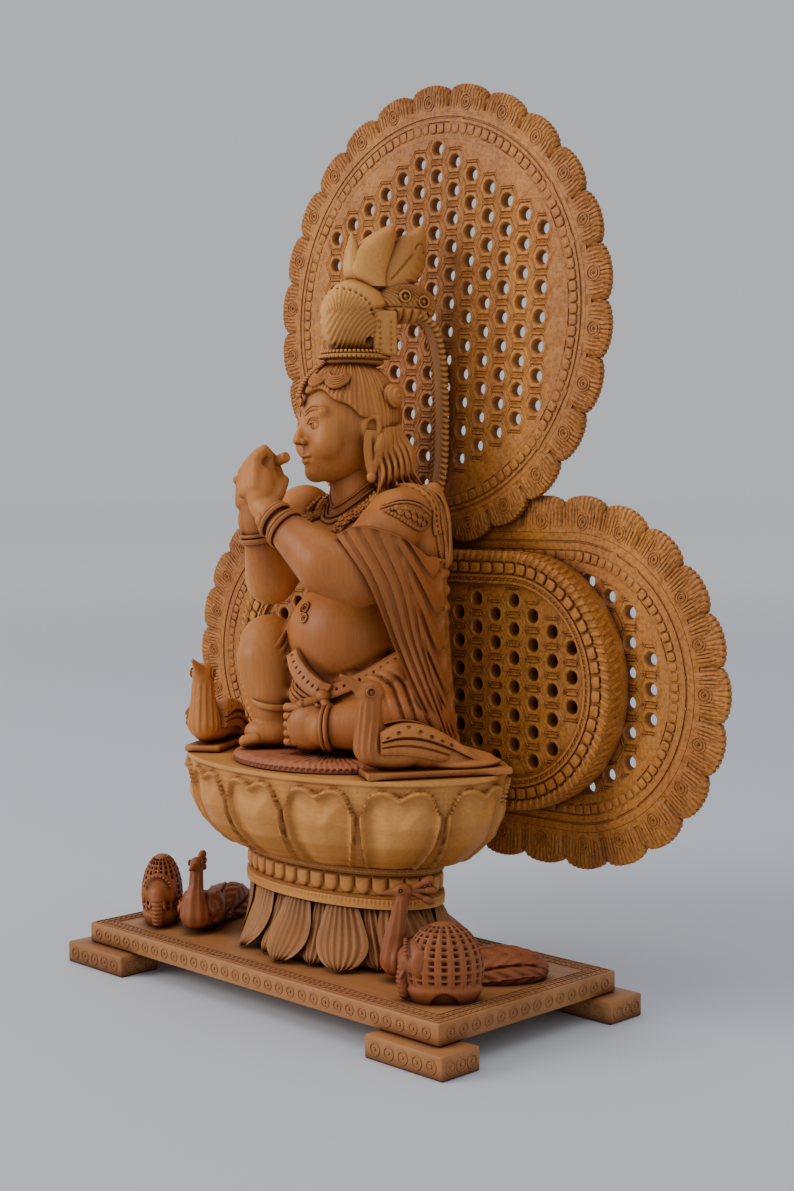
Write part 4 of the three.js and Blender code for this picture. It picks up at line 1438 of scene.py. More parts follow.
def limb_rings():
    """Bangles, rolled hems and ankle rings: middle, direction, half width and thickness."""
    left_arm, right_arm, ankle = (-21, -5, 15), (0, -2, 10), (-16, -9, -1)
    rings = [
        ((4.8, -30.9, 91), left_arm, 8.1, 0.9), ((3.4, -31.1, 92), left_arm, 7.9, 0.8),
        ((-0.6, -31.5, 94.6), left_arm, 7.4, 1.1), ((-1.8, -31.6, 95.6), left_arm, 7.2, 0.8),
        ((-23.6, -20.5, 86.5), right_arm, 7.4, 1.2), ((-23.6, -20.8, 88.7), right_arm, 7.2, 0.8),
        # Rolled hem at the right shin, and the double ring at the left ankle
        ((-18.8, -17, 19.6), (0.25, -0.1, 1), 10.0, 1.3),
        ((17.4, -20.6, 11), ankle, 9.1, 1.0), ((19.2, -19.6, 11.1), ankle, 9.2, 1.0),
    ]
    # Folds of cloth round the thigh behind the raised knee
    thigh = (0.411, 0.63, -0.657)
    for k in range(6):
        along = 1 + 2.9 * k
        middle = (-27 + thigh[0] * along, -13 + thigh[1] * along, 42 + thigh[2] * along)
        rings.append((middle, thigh, 12.9 + 0.07 * along, 1.25))
    return [rolled_ring(*ring) for ring in rings]


def belt(body):
    """Punched bands from both sides, meeting in a knot with hanging ends."""
    front_band = [(-5, -18.6, 40), (-2, -19.4, 35), (4, -20, 30), (11, -19.5, 26), (16, -18, 24.5)]
    side_band = [(14, -17.6, 24), (20, -12.6, 27.2), (26.4, -6.6, 31), (32.6, -0.6, 36), (37.6, 4.6, 40)]
    parts = [
        band_on(None, front_band, 8.0, 9, ways=[(-0.2, -1, 0.3), (0, -1, 0.4), (0.1, -1, 0.6)]),
        band_on(None, side_band, 6.8, 11, ways=[(0.2, -1, 0.6), (0.6, -0.8, 0.7), (0.8, -0.6, 0.5)]),
    ]
    for shift in (0, 2.4, 4.8):
        fold = [(-7, -21, 31 - shift), (-2, -22, 27 - shift), (5, -22, 23.5 - shift), (13, -20, 21 - shift)]
        parts.append(cord_on(body, fold, 1.0, 0.1))
    parts.append(ball(14, -19.6, 23.5, (3.6, 3.0, 2.8)))
    parts += chain((12, -21, 22, 1.9), (8, -24, 20.5, 2.2), (4, -24.5, 19.5, 1.5))
    parts += chain((15, -20, 22, 1.9), (18, -21, 19.5, 2.0), (21, -19, 18.5, 1.4))
    return parts


def figure_trim(body):
    """Garland, borders, bangles, belt and toes, laid on the body."""
    parts = garland(body) + shoulder_trim(body) + limb_rings() + belt(body) + toes()
    # Knob of the bangle
    parts.append(ball(-1.5, -38.6, 94.6, (2.2, 1.8, 2.4)))
    # Two ringed flowers on the belly, under the forearm
    for spot, size in (((-0.8, -16.6, 58.6), 2.5), ((1.4, -18.2, 54.4), 1.7)):
        (spot,), (way,) = laid_on(body, [spot], 0.2)
        for radius, thick in ((size, 0.55), (size * 0.55, 0.35)):
            parts.append(stamp_at(facing(spot, way, (1, 0, 0)), radius, thick, 0.5))
    # Punched nails on the left foot
    marks = [at(2.6, -27.7, 15.1 - 3.5 * k, 90, 0, 19) for k in range(4)]
    parts.append(copies("toe_marks", ring_stamp(0.62, 0.22, 0.2), marks))
    return parts


# Head, in its own frame: it faces -Y, and its centre is the origin

def head_skin():
    """Face, skull and ears in one skin, with the hollows pressed in afterwards."""
    masses = [
        ball(0, 1.5, 4, (19.3, 20.5, 21), across=36, up=20),
        ball(0, -4, -9, (14.6, 14.8, 15), across=32, up=18),
        ball(0, -13.2, -19, (5.8, 5.2, 4.8)), ball(0, -8, -1, (16.8, 12.4, 12)),
        ball(0, 8, -12, (12, 11, 14)), ball(0, -12.5, -12.5, (9, 6.2, 7)),
    ]
    for side in (-1, 1):
        masses.append(ball(side * 9, -11.6, -7.5, (7.2, 7, 7.5)))
        masses.append(ball(side * 7.4, -13.2, 5.4, (7.6, 3.8, 3.2), (0, side * 4, side * -20)))
    skull = fuse("skull", masses, 0.8, 20)
    features = [
        capsule((0, -18.0, 2.6), 1.7, (0, -20.9, -5.2), 2.3), ball(0, -21.3, -6.4, (2.7, 2.2, 2.1)),
        capsule((-2.6, -17.9, -14.6), 1.0, (2.6, -17.9, -14.6), 1.0), ball(0, -18.2, -14.8, (3.0, 1.4, 1.2)),
    ]
    for side in (-1, 1):
        features.append(capsule((side * 4.8, -17.0, -13.0), 0.7, (side * 1.0, -18.9, -12.5), 1.0))
        features.append(ball(side * 2.5, -19.6, -6.9, (1.6, 1.8, 1.4)))
        # Ear: rim, bowl and long lobe
        features += chain(
            (side * 18.6, 0.6, -4, 1.1), (side * 19.2, 0.2, 0.4, 1.2), (side * 20, 2.4, 3.4, 1.3),
            (side * 20.4, 5.4, 2.6, 1.3), (side * 20.2, 6.0, -2, 1.3), (side * 19.2, 4.4, -7.5, 1.3),
            (side * 18.4, 2.8, -11, 1.5))
        features.append(ball(side * 18.2, 3.0, -3.5, (1.4, 3.0, 6.6)))
    face = fuse("face", [skull, *features], 0.52, 4)
    points = points_of(face)
    x, y, z = points.T

    def dent(at_x, at_z, half_x, half_z, behind):
        return np.exp(-(((x - at_x) / half_x) ** 2 + ((z - at_z) / half_z) ** 2)) * (y < behind)
    # Eye hollows, nostrils, corners of the mouth, line between the lips and groove under the nose
    for side in (-1, 1):
        points[:, 1] += 1.3 * dent(side * 7.4, -0.4, 4.6, 2.8, -8)
        points[:, 2] += 0.8 * dent(side * 1.5, -8.2, 0.8, 0.7, -17)
        points[:, 1] += 0.7 * dent(side * 4.7, -13.2, 1.1, 1.1, -14)
    lip_line = np.exp(-((z + 13.6 - 0.03 * x ** 2) / 0.42) ** 2)
    points[:, 1] += 0.8 * lip_line * (1 - between(3.8, 4.8, np.abs(x))) * (y < -15)
    points[:, 1] += 0.4 * dent(0, -10.4, 0.9, 1.3, -15)
    return move_points(face, points)


def face_details(face):
    """Eyes with their lids and creases, and the brows."""
    parts = []
    for side in (-1, 1):
        parts.append(ball(side * 7.3, -13.5, -0.4, (4.5, 4.6, 4.0), across=28, up=16))
        first, last = (side * 3.4, -18.0, -1.3), (side * 12.1, -14.7, -0.2)
        upper = [first, (side * 5.4, -18.3, 0.6), (side * 7.6, -18.0, 1.2), (side * 10, -16.6, 0.8), last]
        lower = [first, (side * 5.6, -17.9, -2.2), (side * 7.8, -17.5, -2.5), (side * 10, -16.2, -1.8), last]
        parts.append(rod(list(along_path(upper, 14)), [0.4, *[0.55] * 12, 0.4], 8))
        parts.append(rod(list(along_path(lower, 14)), [0.35, *[0.42] * 12, 0.3], 8))
        for rise, thick in ((0, 0.42), (1.5, 0.3)):
            brow = [
                (side * 2.4, -19, 3.8 + rise), (side * 5.6, -18.6, 5.8 + rise), (side * 9, -17, 6.2 + rise),
                (side * 12.6, -14, 4.8 + rise)]
            parts.append(cord_on(face, brow, thick, 0.02, count=16))
        crease = [(x, y + 0.5, z + 1.7) for x, y, z in upper[:4]]
        parts.append(cord_on(face, crease, 0.28, 0.02, count=14))
        # Iris ring and pupil
        parts.append(stamp_at(at(side * 7.2, -18.0, -0.5, 90, 0, side * 3), 1.2, 0.18, 0.4))
    return parts


def hair_cap():
    """Combed hair over the skull, with a parting and a fuller edge."""
    centre = np.array([0, 1.5, 4.0])
    half = np.array([20.9, 22.1, 22.9])
    edge_turn = np.radians((0, 20, 40, 62, 82, 98, 118, 150, 180))
    edge_fall = np.radians((66, 63, 66, 79, 93, 96, 122, 136, 139))
    edge = 0.88

    def place(u, v):
        turn = (u - 0.5) * TURN
        reach = np.interp(np.abs(turn), edge_turn, edge_fall)
        reach = reach + np.radians(2.2) * np.sin(np.abs(turn) * 9) * (np.abs(turn) < 1.4)
        share = np.clip(v / edge, 0, 1)
        fall = reach * share
        comb = turn * 66 + 1.6 * np.sin(fall * 4 + turn * 2)
        strand = 0.2 * np.cos(comb) + 0.16 * np.cos(comb * 0.37 + 1)
        strand = strand * between(0.06, 0.2, share)
        parting = -0.7 * np.exp(-(turn / 0.05) ** 2) * between(0.25, 0.4, share)
        swell = 0.5 * ridge(share, 0.93, 0.12)
        radial = 1 + (strand + parting + swell) / 22
        radial = np.where(v > edge, 1 - 0.16 * (v - edge) / (1 - edge), radial)
        way = np.column_stack([np.sin(fall) * np.sin(turn), -np.sin(fall) * np.cos(turn), np.cos(fall)])
        return centre + way * half * radial[:, None]
    return bent_sheet("hair_cap", 400, 44, place)


def wavy_lock(start, end, radius, sway, waves, phase):
    """A lock of hair that swings as it falls and tapers at its tip."""
    stops, radii = [], []
    start, end = np.array(start, float), np.array(end, float)
    for k in range(13):
        share = k / 12
        point = start + (end - start) * share
        point[0] += sway * math.sin(TURN * waves * share + phase)
        point[1] += sway * 0.6 * math.cos(TURN * waves * share + phase)
        stops.append(point)
        taper = 1 if k < 10 else 0.6 ** (k - 9)
        radii.append(radius * (0.7 + 0.3 * math.sin(math.pi * min(1, k / 8))) * taper)
    return rod(stops, radii, 10)


def on_hair(turn, fall, rise):
    """Point over the hair, from degrees round from the brow and down from the top."""
    turn, fall = math.radians(turn), math.radians(fall)
    aside = math.sin(fall) * math.sin(turn)
    ahead = math.sin(fall) * math.cos(turn)
    return (21.2 + rise) * aside, 1.5 - (22.4 + rise) * ahead, 4 + (23.2 + rise) * math.cos(fall)


def hair_locks():
    """Waves over the brow, a coil at each side, and the locks beside and behind the neck."""
    parts = []
    for side in (-1, 1):
        # Broad waves swept back from the parting, each a bundle of strands
        for first, low, wide in ((3, 61, 1.3), (34, 64, 1.25)):
            for k in range(5):
                stops = [
                    on_hair(side * (first + along * wide), low - fall, rise) for along, fall, rise in (
                        (0, 17 + 1.6 * k, 0.0), (5, 6 + 2.3 * k, 0.5), (13, 1 + 2.7 * k, 0.8),
                        (20, 3 + 2.6 * k, 0.8), (26 - k, 9 + 2.1 * k, 0.5), (29 - 1.5 * k, 16 + 1.3 * k, 0.0))
                ]
                parts.append(rod(list(along_path(stops, 16)), [0.6, *[0.85] * 12, 0.8, 0.6, 0.4], 8))
        # Coil at the side of the head, wound in rings
        coil = ball(0, 0, 0, (1, 1, 1), across=28, up=30)
        points = points_of(coil)
        fall = np.arccos(np.clip(points[:, 2], -1, 1))
        move_points(coil, points * (1 + 0.06 * np.cos(fall * 11))[:, None] * np.array([4.8, 4.8, 4.2]))
        coil.matrix_world = at(side * 17.4, 13.5, 11.5, 0, side * 90, side * 22)
        parts.append(settle(coil))
        # Thick locks with a thin one on each
        for k in range(6):
            spread = k / 5
            for x0, y0, z0, x1, z1, radius, late in (
                (18.2, 6.5, -3, 23, -28, 3.1, 0), (20, 6, -4, 25, -27, 1.3, 0.5),
            ):
                start = (side * (x0 - 2.5 * spread), y0 + 9.5 * spread, z0 + 3 * spread)
                end = (side * (x1 - 1 * spread), 5 + 18 * spread, z1 + 2 * spread)
                parts.append(wavy_lock(start, end, radius, 1.3, 1.5, 0.5 * k + late))
    # Hair down the nape
    for k in range(9):
        turn = math.radians(-64 + 16 * k)
        top = (17 * math.sin(turn), 3 + 17 * math.cos(turn), -4)
        tip = (15 * math.sin(turn), 7 + 12 * math.cos(turn), -25)
        parts.append(wavy_lock(top, tip, 3.1, 0.7, 1.4, k))
    return parts


def earring(side):
    """A long slit drop that hangs from the ear, with a knob at its foot."""
    def place(u, v):
        across = np.abs(u * 2 - 1) * 2 - 1
        front = u <= 0.5
        width = 4.1 * np.sin(math.pi * np.clip(0.14 + v * 0.84, 0, 1)) ** 0.5 * (1.1 - 0.35 * v)
        slit = 1.0 * ridge(across, 0.1, 0.3) * between(0.08, 0.2, v) * (1 - between(0.6, 0.72, v))
        x = np.where(front, 1.0, -1.0) * (0.75 + 0.5 * (1 - across ** 2)) - np.where(front, slit, 0)
        return np.column_stack([x * side, across * width, 9 - 19 * v])
    drop = join("earring", [bent_sheet("drop", 28, 36, place), ball(0, 0, -10, (1.9, 2.1, 2.3))])
    drop.matrix_world = at(side * 20.8, 2.4, -11.6, side * -4, side * -7, 0)
    return settle(drop)


def figure_head():
    """Head with its face, hair and jewels, turned to its place."""
    face = head_skin()
    parts = [*face_details(face), hair_cap(), *hair_locks(), earring(1), earring(-1)]
    # Chain down the parting with its drop on the forehead
    spots = along_path([(0, -9, 25.6), (0, -14.6, 21.6), (0, -19, 16.5), (0, -20.7, 12)], 15)
    links = [at(*spot, 40, 0, 28) for spot in spots]
    parts.append(copies("parting_twist", ball(0, 0, 0, (1.6, 0.8, 1.0), across=10, up=6), links))
    drop = flower_master(2.1)
    drop.matrix_world = at(0, -20.3, 9.6, 90, 0, 0)
    parts.append(settle(drop))
    return turned(join("figure_head", [face, *parts]), HEAD_AT, HEAD_TURN)


# Crown, in its own frame: Y runs back along its length

def crown_fan():
    """Side-pressed dome of two tiers of fine strokes under a smooth rim."""
    half, reach, height = 10.4, 13.6, 16.4
    middle_b, middle_z = 4.2, 176.4

    def place(u, v):
        turn, fall = u * TURN, v * math.pi
        s = half * np.sin(fall) * np.sign(np.cos(turn)) * np.abs(np.cos(turn)) ** 0.7
        b = reach * np.sin(fall) * np.sin(turn)
        z = height * np.cos(fall)
        b_at, z_at = b + middle_b, z + middle_z
        side_share = between(0.12, 0.35, np.abs(s) / half)
        above = z_at - 179.3 - 0.1 * b_at
        # Lower tier: strokes that curl round the foot of the post
        foot_reach = np.hypot(b_at - 13.5, (z_at - 163.5) * 0.9)
        lower = between(5, 6, foot_reach) * (1 - between(0, 1.2, above))
        strokes = 0.34 * np.cos(TURN * foot_reach / 1.65) * lower
        # Upper tier: rays up to a row of punched dots, then a broad smooth rim
        rho = np.hypot(b_at + 5.5, (z_at - 172.5))
        psi = np.arctan2(z_at - 172.5, b_at + 5.5)
        upper = between(0.2, 1.0, above) * (1 - between(14.6, 15.4, rho))
        rays = 0.26 * np.cos(psi * 58 + 0.35 * rho) * upper
        over = between(0.2, 1.4, above)
        spot = ((psi * 16.2 / 2.3) % 1 - 0.5) * 2.3
        dots = -1.3 * np.exp(-((rho - 16.2) / 0.62) ** 2 - (spot / 0.62) ** 2) * (psi > 0.3) * (psi < 1.5)
        rim = 0.8 * over + 0.35 * between(17.2, 18, rho) * over
        hole = -3.6 * (1 - between(1.3, 2.0, np.hypot(b_at - 7.9, z_at - 167.2)))
        relief = (strokes + rays + dots + rim + hole) * side_share
        grow = 1 + relief / np.hypot(np.hypot(s, b), z)
        return np.column_stack([s * grow, b * grow + middle_b, z * grow + middle_z])
    return bent_sheet("crown_fan", 230, 120, place)


def crown_roll():
    """Roll that runs back from the crown, with slanting grooves and a fringe of lobes."""
    def place(u, v):
        turn, fall = u * TURN, v * math.pi
        b = -14.4 * np.cos(fall)
        s = 8.4 * np.sin(fall) ** 0.7 * np.sign(np.cos(turn)) * np.abs(np.cos(turn)) ** 0.8
        z = 8.0 * np.sin(fall) ** 0.7 * np.sin(turn)
        low = 1 - between(-3.4, -2.8, z)
        grooves = 0.36 * np.cos(TURN * (b + 0.9 * z + 0.12 * z ** 2) / 2.3) * between(-2.4, -1.8, z)
        lobe = np.abs(np.cos(math.pi * b / 3.7))
        fringe = (1.5 * lobe ** 0.5 - 0.6) * low - 0.5 * ridge(z, -2.5, 0.5)
        relief = (grooves + fringe) * between(0.2, 0.5, np.sin(fall))
        grow = 1 + relief / 7.6
        rise = 184.2 - 0.006 * (b + 2) ** 2
        return np.column_stack([s * grow, b + 25.2, z * grow + rise])
    return bent_sheet("crown_roll", 130, 140, place)


def plume_petal(front_edge, back_edge, middle, bulge, lean, fringed=False):
    """A petal seen from the side: edges from base to tip as (b, z), swelling along s."""
    count = 40
    front_line = along_path([(0, *stop) for stop in front_edge], count)[:, 1:]
    back_line = along_path([(0, *stop) for stop in back_edge], count)[:, 1:]

    def place(u, v):
        near, share = there_and_back(u)
        first, last = (columns_at(v * (count - 1), range(count), line) for line in (front_line, back_line))
        spot = first + (last - first) * share[:, None]
        width = np.hypot(*(last - first).T)
        swell = bulge * np.sqrt(np.clip(1 - (2 * share - 1) ** 2, 0, 1)) * np.clip(width / 8, 0, 1)
        cut = 0.0
        if fringed:
            # Short cuts along the back edge, a slanting vein and a small curl
            rib = 0.4 * np.cos(TURN * (v * 9 + share * 1.5))
            rib = rib * between(0.66, 0.8, share) * (1 - between(0.55, 0.75, v))
            vein = 0.8 * ridge(share - 0.3 - 0.55 * v, 0.0, 0.05)
            vein = vein * between(0.06, 0.14, v) * (1 - between(0.48, 0.54, v))
            curl = np.hypot((share - 0.72) * width, (v - 0.6) * 24)
            cut = rib - vein - 0.7 * ridge(curl, 2.0, 0.6) * (v > 0.58)
        s = np.where(near, 1.0, -1.0) * (swell + cut * (swell > 0.8))
        return np.column_stack([s + middle + lean * v, spot[:, 0], spot[:, 1]])
    return bent_sheet("plume_petal", 76, 48, place)


def plume():
    """A lotus bud of overlapping petals, alike on both sides."""
    front = ([(4, 190.5), (0.2, 195), (0.3, 203), (3, 212.5)],
             [(11, 190.5), (9.5, 197), (6.5, 206), (3.2, 212.7)])
    broad = ([(8, 190), (2.2, 194.5), (3.2, 203), (10, 210.5), (20.4, 216.6)],
             [(17, 190), (17.2, 196), (20.6, 206), (21.6, 212), (20.8, 216.8)])
    back = ([(12, 190.2), (13.5, 195), (17, 204), (23.5, 210.5), (34.2, 216.6)],
            [(26, 190), (31.5, 193), (35, 199), (35.8, 207), (34.6, 216.8)])
    parts = []
    for side in (-1, 1):
        parts.append(plume_petal(*back, side * 1.2, 3.6, side * 0.3, fringed=True))
        parts.append(plume_petal(*broad, side * 3.4, 4.4, side * -0.6))
    parts.append(plume_petal(*front, 0, 5.2, 0))
    parts.append(ball(0, 12, 190.6, (5.6, 7.5, 2.4)))
    return parts


def ribbon():
    """A strap that arches from the crown down behind the shoulders, with milled edges."""
    stops = [
        (27, 178.5), (33, 178), (38.5, 172.5), (41.4, 160), (42.3, 145), (42.2, 128), (41, 112), (37.5, 100),
        (31, 92)]
    count, nicks = 90, 40
    line = along_path([(0, b, z) for b, z in stops], count)[:, 1:]
    ahead = np.gradient(line, axis=0)
    ahead /= np.linalg.norm(ahead, axis=1)[:, None]
    out = np.column_stack([-ahead[:, 1], ahead[:, 0]])

    def place(u, v):
        b, z = columns_at(v * (count - 1), range(count), line).T
        out_b, out_z = columns_at(v * (count - 1), range(count), out).T
        turn = u * TURN
        s = 6.4 * np.sign(np.cos(turn)) * np.abs(np.cos(turn)) ** 0.5
        thick = 1.1 * np.sign(np.sin(turn)) * np.abs(np.sin(turn)) ** 0.6
        thick = thick + 0.22 * np.cos(s * 2.6) * (np.abs(s) < 4)
        closing = np.where((v < 0.005) | (v > 0.995), 0.05, 1.0)
        return np.column_stack([s * closing, b - out_b * thick * closing, z - out_z * thick * closing])
    strap = bent_sheet("strap", 36, 120, place)
    steps = 3 + np.arange(nicks) * (count - 5) / (nicks - 1)
    spots = columns_at(steps, range(count), line)
    tilts = [math.degrees(math.atan2(z, b)) for b, z in columns_at(steps, range(count), ahead)]
    places = []
    for side in (-1, 1):
        slant = Matrix.Rotation(math.radians(side * 32), 4, "Z")
        places += [at(side * 5.4, b, z, tilt, 0, 0) @ slant for (b, z), tilt in zip(spots, tilts)]
    return [strap, copies("strap_nicks", ball(0, 0, 0, (2.4, 1.0, 1.7), across=10, up=6), places)]


def figure_crown():
    """Crown with its roll, post, brim and strap."""
    parts = [crown_fan(), crown_roll(), *ribbon()]
    for side in (-1, 1):
        for b, z, out in ((23.6, 186.0, 8.6), (32.0, 184.0, 8.1)):
            parts.append(stamp_at(at(side * out, b, z, 0, 90, 0), 2.2, 0.5, 0.8))
    post = slab(-9.4, 9.6, 161.5, 18.8, 10.4, 18.5, 1.0)
    parts.append(modify(post, "BEVEL", width=1.6 * MM, segments=2))
    dots = [
        at(side * 9.35, b, 163.8 + 2.3 * k, 0, 90, 0)
        for side in (-1, 1) for b in (12.2, 17) for k in range(6)]
    parts.append(copies("post_dots", ring_stamp(0.55, 0.2, 0.15), dots))
    # Brim with nicked rows round the foot of the crown
    count = 48
    for z, a, b, half in ((160.9, 11.9, 14.7, (1.0, 0.7, 0.6)), (163.0, 11.0, 13.7, (0.85, 0.75, 0.8))):
        places = []
        for k in range(count):
            turn = k / count * TURN
            along = math.degrees(math.atan2(b * math.cos(turn), -a * math.sin(turn)))
            places.append(at(a * math.cos(turn), 4 + b * math.sin(turn), z, 0, 0, along))
        parts.append(copies("brim_beads", ball(0, 0, 0, half, across=8, up=5), places))
    parts.append(ball(0, 4, 161.4, (12.0, 14.8, 2.4), across=40, up=12))
    parts.append(ball(0, 4, 159.2, (10.2, 12.8, 3.0), across=40, up=12))
    return turned(join("figure_crown", parts), CROWN_AT, CROWN_TURN)


def lift(piece):
    """From the figure's own frame, with Z = 0 on the mat, to the shared one."""
    piece.matrix_world = at(0, 0, SEAT_LEVEL)
    return settle(piece)


def figure():
    """The figure's parts, each lifted to the seat and finished."""
    body = figure_body()
    trim = join("figure_trim", figure_trim(body))
    cloth, head, crown = shawl(), figure_head(), figure_crown()
    flower = turned(join("figure_crown_lotus", plume()), CROWN_AT, CROWN_TURN)
    for piece, wood in (
        (trim, FIGURE_WOOD), (body, FIGURE_WOOD), (cloth, FIGURE_WOOD), (head, FIGURE_WOOD),
        (crown, SEAT_WOOD), (flower, SEAT_WOOD),
    ):
        finish(smooth(lift(piece), 60), wood, "figure_wood", "krishna_figure")


def flute():
    """Rod from the lips through both hands."""
    way = np.array(FLUTE_WAY) / np.linalg.norm(FLUTE_WAY)
    near, far = np.array(FLUTE_NEAR) - way * 3.4, np.array(FLUTE_NEAR) + way * FLUTE_LENGTH
    stops = [near, near + way * 0.4, near + way * 1.4, near + way * 2.4, far - way * 0.4, far]
    rod_piece = rod(stops, [1.9, 2.3, 2.3, 2.1, 2.1, 1.9], 16)
    finish(smooth(lift(rod_piece), 40), FIGURE_WOOD, "figure_wood", "flute")


# Birds and elephants, each in its own frame: it faces -Y and stands on Z = 0

def relief_ball(place_at, half, across, up, relief, turn=(0, 0, 0)):
    """Ellipsoid whose surface is pushed out by relief(direction), in millimetres."""
    piece = ball(0, 0, 0, (1, 1, 1), across=across, up=up)
    ways = points_of(piece)
    grow = 1 + relief(*ways.T) / min(half)
    move_points(piece, ways * np.array(half) * grow[:, None])
    piece.matrix_world = at(*place_at, *turn)
    return settle(piece)


def cut_flat(piece):
    """Whatever is below its own floor is cut off."""
    return cut_off(piece, (0, 0, 0.02), (0, 0, -1))


def bird_wing(side):
    """A smooth shoulder with punched dots over two long feather ridges."""
    def place(u, along):
        near, share = there_and_back(u)
        low = 9.5 - 8.0 * between(0.1, 1.0, along) + 0.5
        high = low + 12.5 * np.sin(math.pi * np.clip(0.2 + along * 0.8, 0, 1)) ** 0.8
        z_at = low + (high - low) * share
        y_at = -5 + 45 * along
        body = np.sqrt(np.clip(1 - ((y_at - 5) / 21) ** 2, 0.02, 1)) * 8.8
        out = np.maximum(body * np.sqrt(np.clip(1 - ((z_at - 11) / 12.5) ** 2, 0.05, 1)), 3.4)
        edge = np.sin(math.pi * np.clip(share, 0, 1)) ** 0.3
        layers = 0.9 * between(0.0, 0.1, share) + 0.8 * between(0.55, 0.62, share)
        layers = (layers - 0.9 * ridge(share, 0.3, 0.06) - 0.9 * ridge(share, 0.55, 0.06)) * edge
        y_dot, z_dot = (y_at / 4.3) % 1 - 0.5, (z_at / 4.0 + np.floor(y_at / 4.3) * 0.5) % 1 - 0.5
        dots = -0.9 * (1 - between(0.13, 0.24, np.hypot(y_dot, z_dot)))
        dots = dots * between(0.62, 0.68, share) * (1 - between(0.9, 0.95, share)) * (along < 0.7)
        lift_now = np.where(near & (along > 0) & (along < 1), 0.8 + layers + dots, -2.5)
        return np.column_stack([side * (out + lift_now), y_at, z_at])
    return bent_sheet("wing", 96, 90, place)


def seat_bird():
    """A swan-like bird on a strip, its neck and beak raised."""
    skin = fuse("bird_skin", [
        ball(0, 5, 11.5, (8.6, 17, 8.6), (8, 0, 0), across=32, up=18),
        capsule((0, -6.5, 12), 7.2, (0, -7.5, 22), 5.2), capsule((0, -7.5, 22), 5.2, (0, -7, 31), 4.6),
        ball(0, -7, 33, (4.9, 5.8, 5)), capsule((0, -10.5, 34.4), 2.9, (0, -18.6, 40), 0.8),
        capsule((0, 14, 9), 7, (0, 40, 4.4), 3.4), ball(0, 30, 4.4, (8.4, 16, 2.6)),
    ], 0.7, 5)
    points = points_of(skin)
    x, y, z = points.T
    # Long feather strokes on the neck and breast
    neck = (y < 2) * between(6, 12, z) * (1 - between(28, 31, z))
    turn = np.arctan2(x, -(y + 2))
    points[:, 0] += 0.28 * neck * np.cos(turn * 24) * np.sign(x)
    points[:, 1] -= 0.2 * neck * np.cos(turn * 24)
    move_points(skin, points)
    parts = [slab(-8, -10, 0, 16, 58, 2.8, 0.7), cut_flat(skin)]
    for side in (-1, 1):
        parts.append(bird_wing(side))
        parts.append(stamp_at(at(side * 4.9, -7.6, 33.6, 0, 90, 0), 1.75, 0.42, 0.6))
        parts.append(ball(side * 1.5, -13, 35.6, (0.5, 0.5, 0.5), across=8, up=5))
        marks = [at(side * 7.9, 14 + 9 * k, 1.4, 0, 90, 0) for k in range(4)]
        parts.append(copies("strip_marks", ball(0, 0, 0, (0.6, 0.6, 0.35), across=8, up=5), marks))
    return join("seat_bird", parts)


def peacock(top, crest):
    """A peacock from the height of its head and the length of its crest, its long tail laid down."""
    skin = fuse("peacock_skin", [
        ball(0, 5, 8, (8, 12, 8.6), across=28, up=16),
        *chain((0, -3.5, 8, 6.6), (0, -4.5, 15, 4.3), (0, -2.5, top - 10, 3.2), (0, -1, top - 1, 2.8)),
        ball(0, -1, top, (3.1, 4, 3.1)), capsule((0, -4, top - 0.4), 1.9, (0, -9.6, top - 1), 0.7),
        ball(0, 20, 6, (6, 10, 5)),
    ], 0.6, 4)
    points = points_of(skin)
    x, y, z = points.T
    turn = np.arctan2(x, -(y - 1))
    strokes = 0.3 * np.cos(turn * 15) * between(2, 6, z) * (1 - between(top - 5, top - 2, z)) * (y < 6)
    points[:, 0] += strokes * np.sin(turn)
    points[:, 1] -= strokes * np.cos(turn)
    move_points(skin, points)
    parts = [cut_flat(skin)]
    # Crest of lobes behind the head
    for tilt in (-26, 0, 26):
        rise = math.radians(tilt)
        stop = (0, 1 + crest * math.cos(rise), top + crest * math.sin(rise))
        parts.append(capsule((0, 1, top), 1.4, stop, 1.2, 10, 6))
        parts.append(ball(*stop, (1.8, 3.0, 1.8), (tilt, 0, 0), across=14, up=8))

    def wing_lines(wx, wy, wz):
        return (0.55 * np.cos(8 * (wy + 0.6 * wz ** 2)) - 0.5 * ridge(wz, 0.15, 0.1)) * (np.abs(wx) > 0.3)
    for side in (-1, 1):
        parts.append(stamp_at(at(side * 3.0, -2, top + 0.6, 0, 90, 0), 1.1, 0.3, 0.45))
        spot, half = (side * 4.6, 6.5, 9), (4.6, 10.5, 7.2)
        parts.append(relief_ball(spot, half, 44, 28, wing_lines, (-12, 0, side * 6)))

    def leaf_tail(wx, wy, wz):
        # Broad leaves with a midrib and slanting veins
        angle = np.arctan2(wx, wz + 0.4)
        cell = (angle * 1.15 + 0.25 * wy) % 1 - 0.5
        veins = 0.3 * np.cos((wy * 8 + np.abs(cell) * 7) * 2.4)
        leaves = -1.3 * ridge(np.abs(cell), 0.5, 0.08) + 0.6 * ridge(cell, 0, 0.06) + veins
        return leaves * np.clip(1 - np.abs(wy), 0, 1) ** 0.3
    parts.append(cut_flat(relief_ball((0, 36, 3.4), (11, 19.5, 9.2), 96, 64, leaf_tail)))
    parts.append(cut_flat(relief_ball((0, 22, 3), (8, 10, 6.4), 48, 32, leaf_tail)))
    return join("peacock", parts)


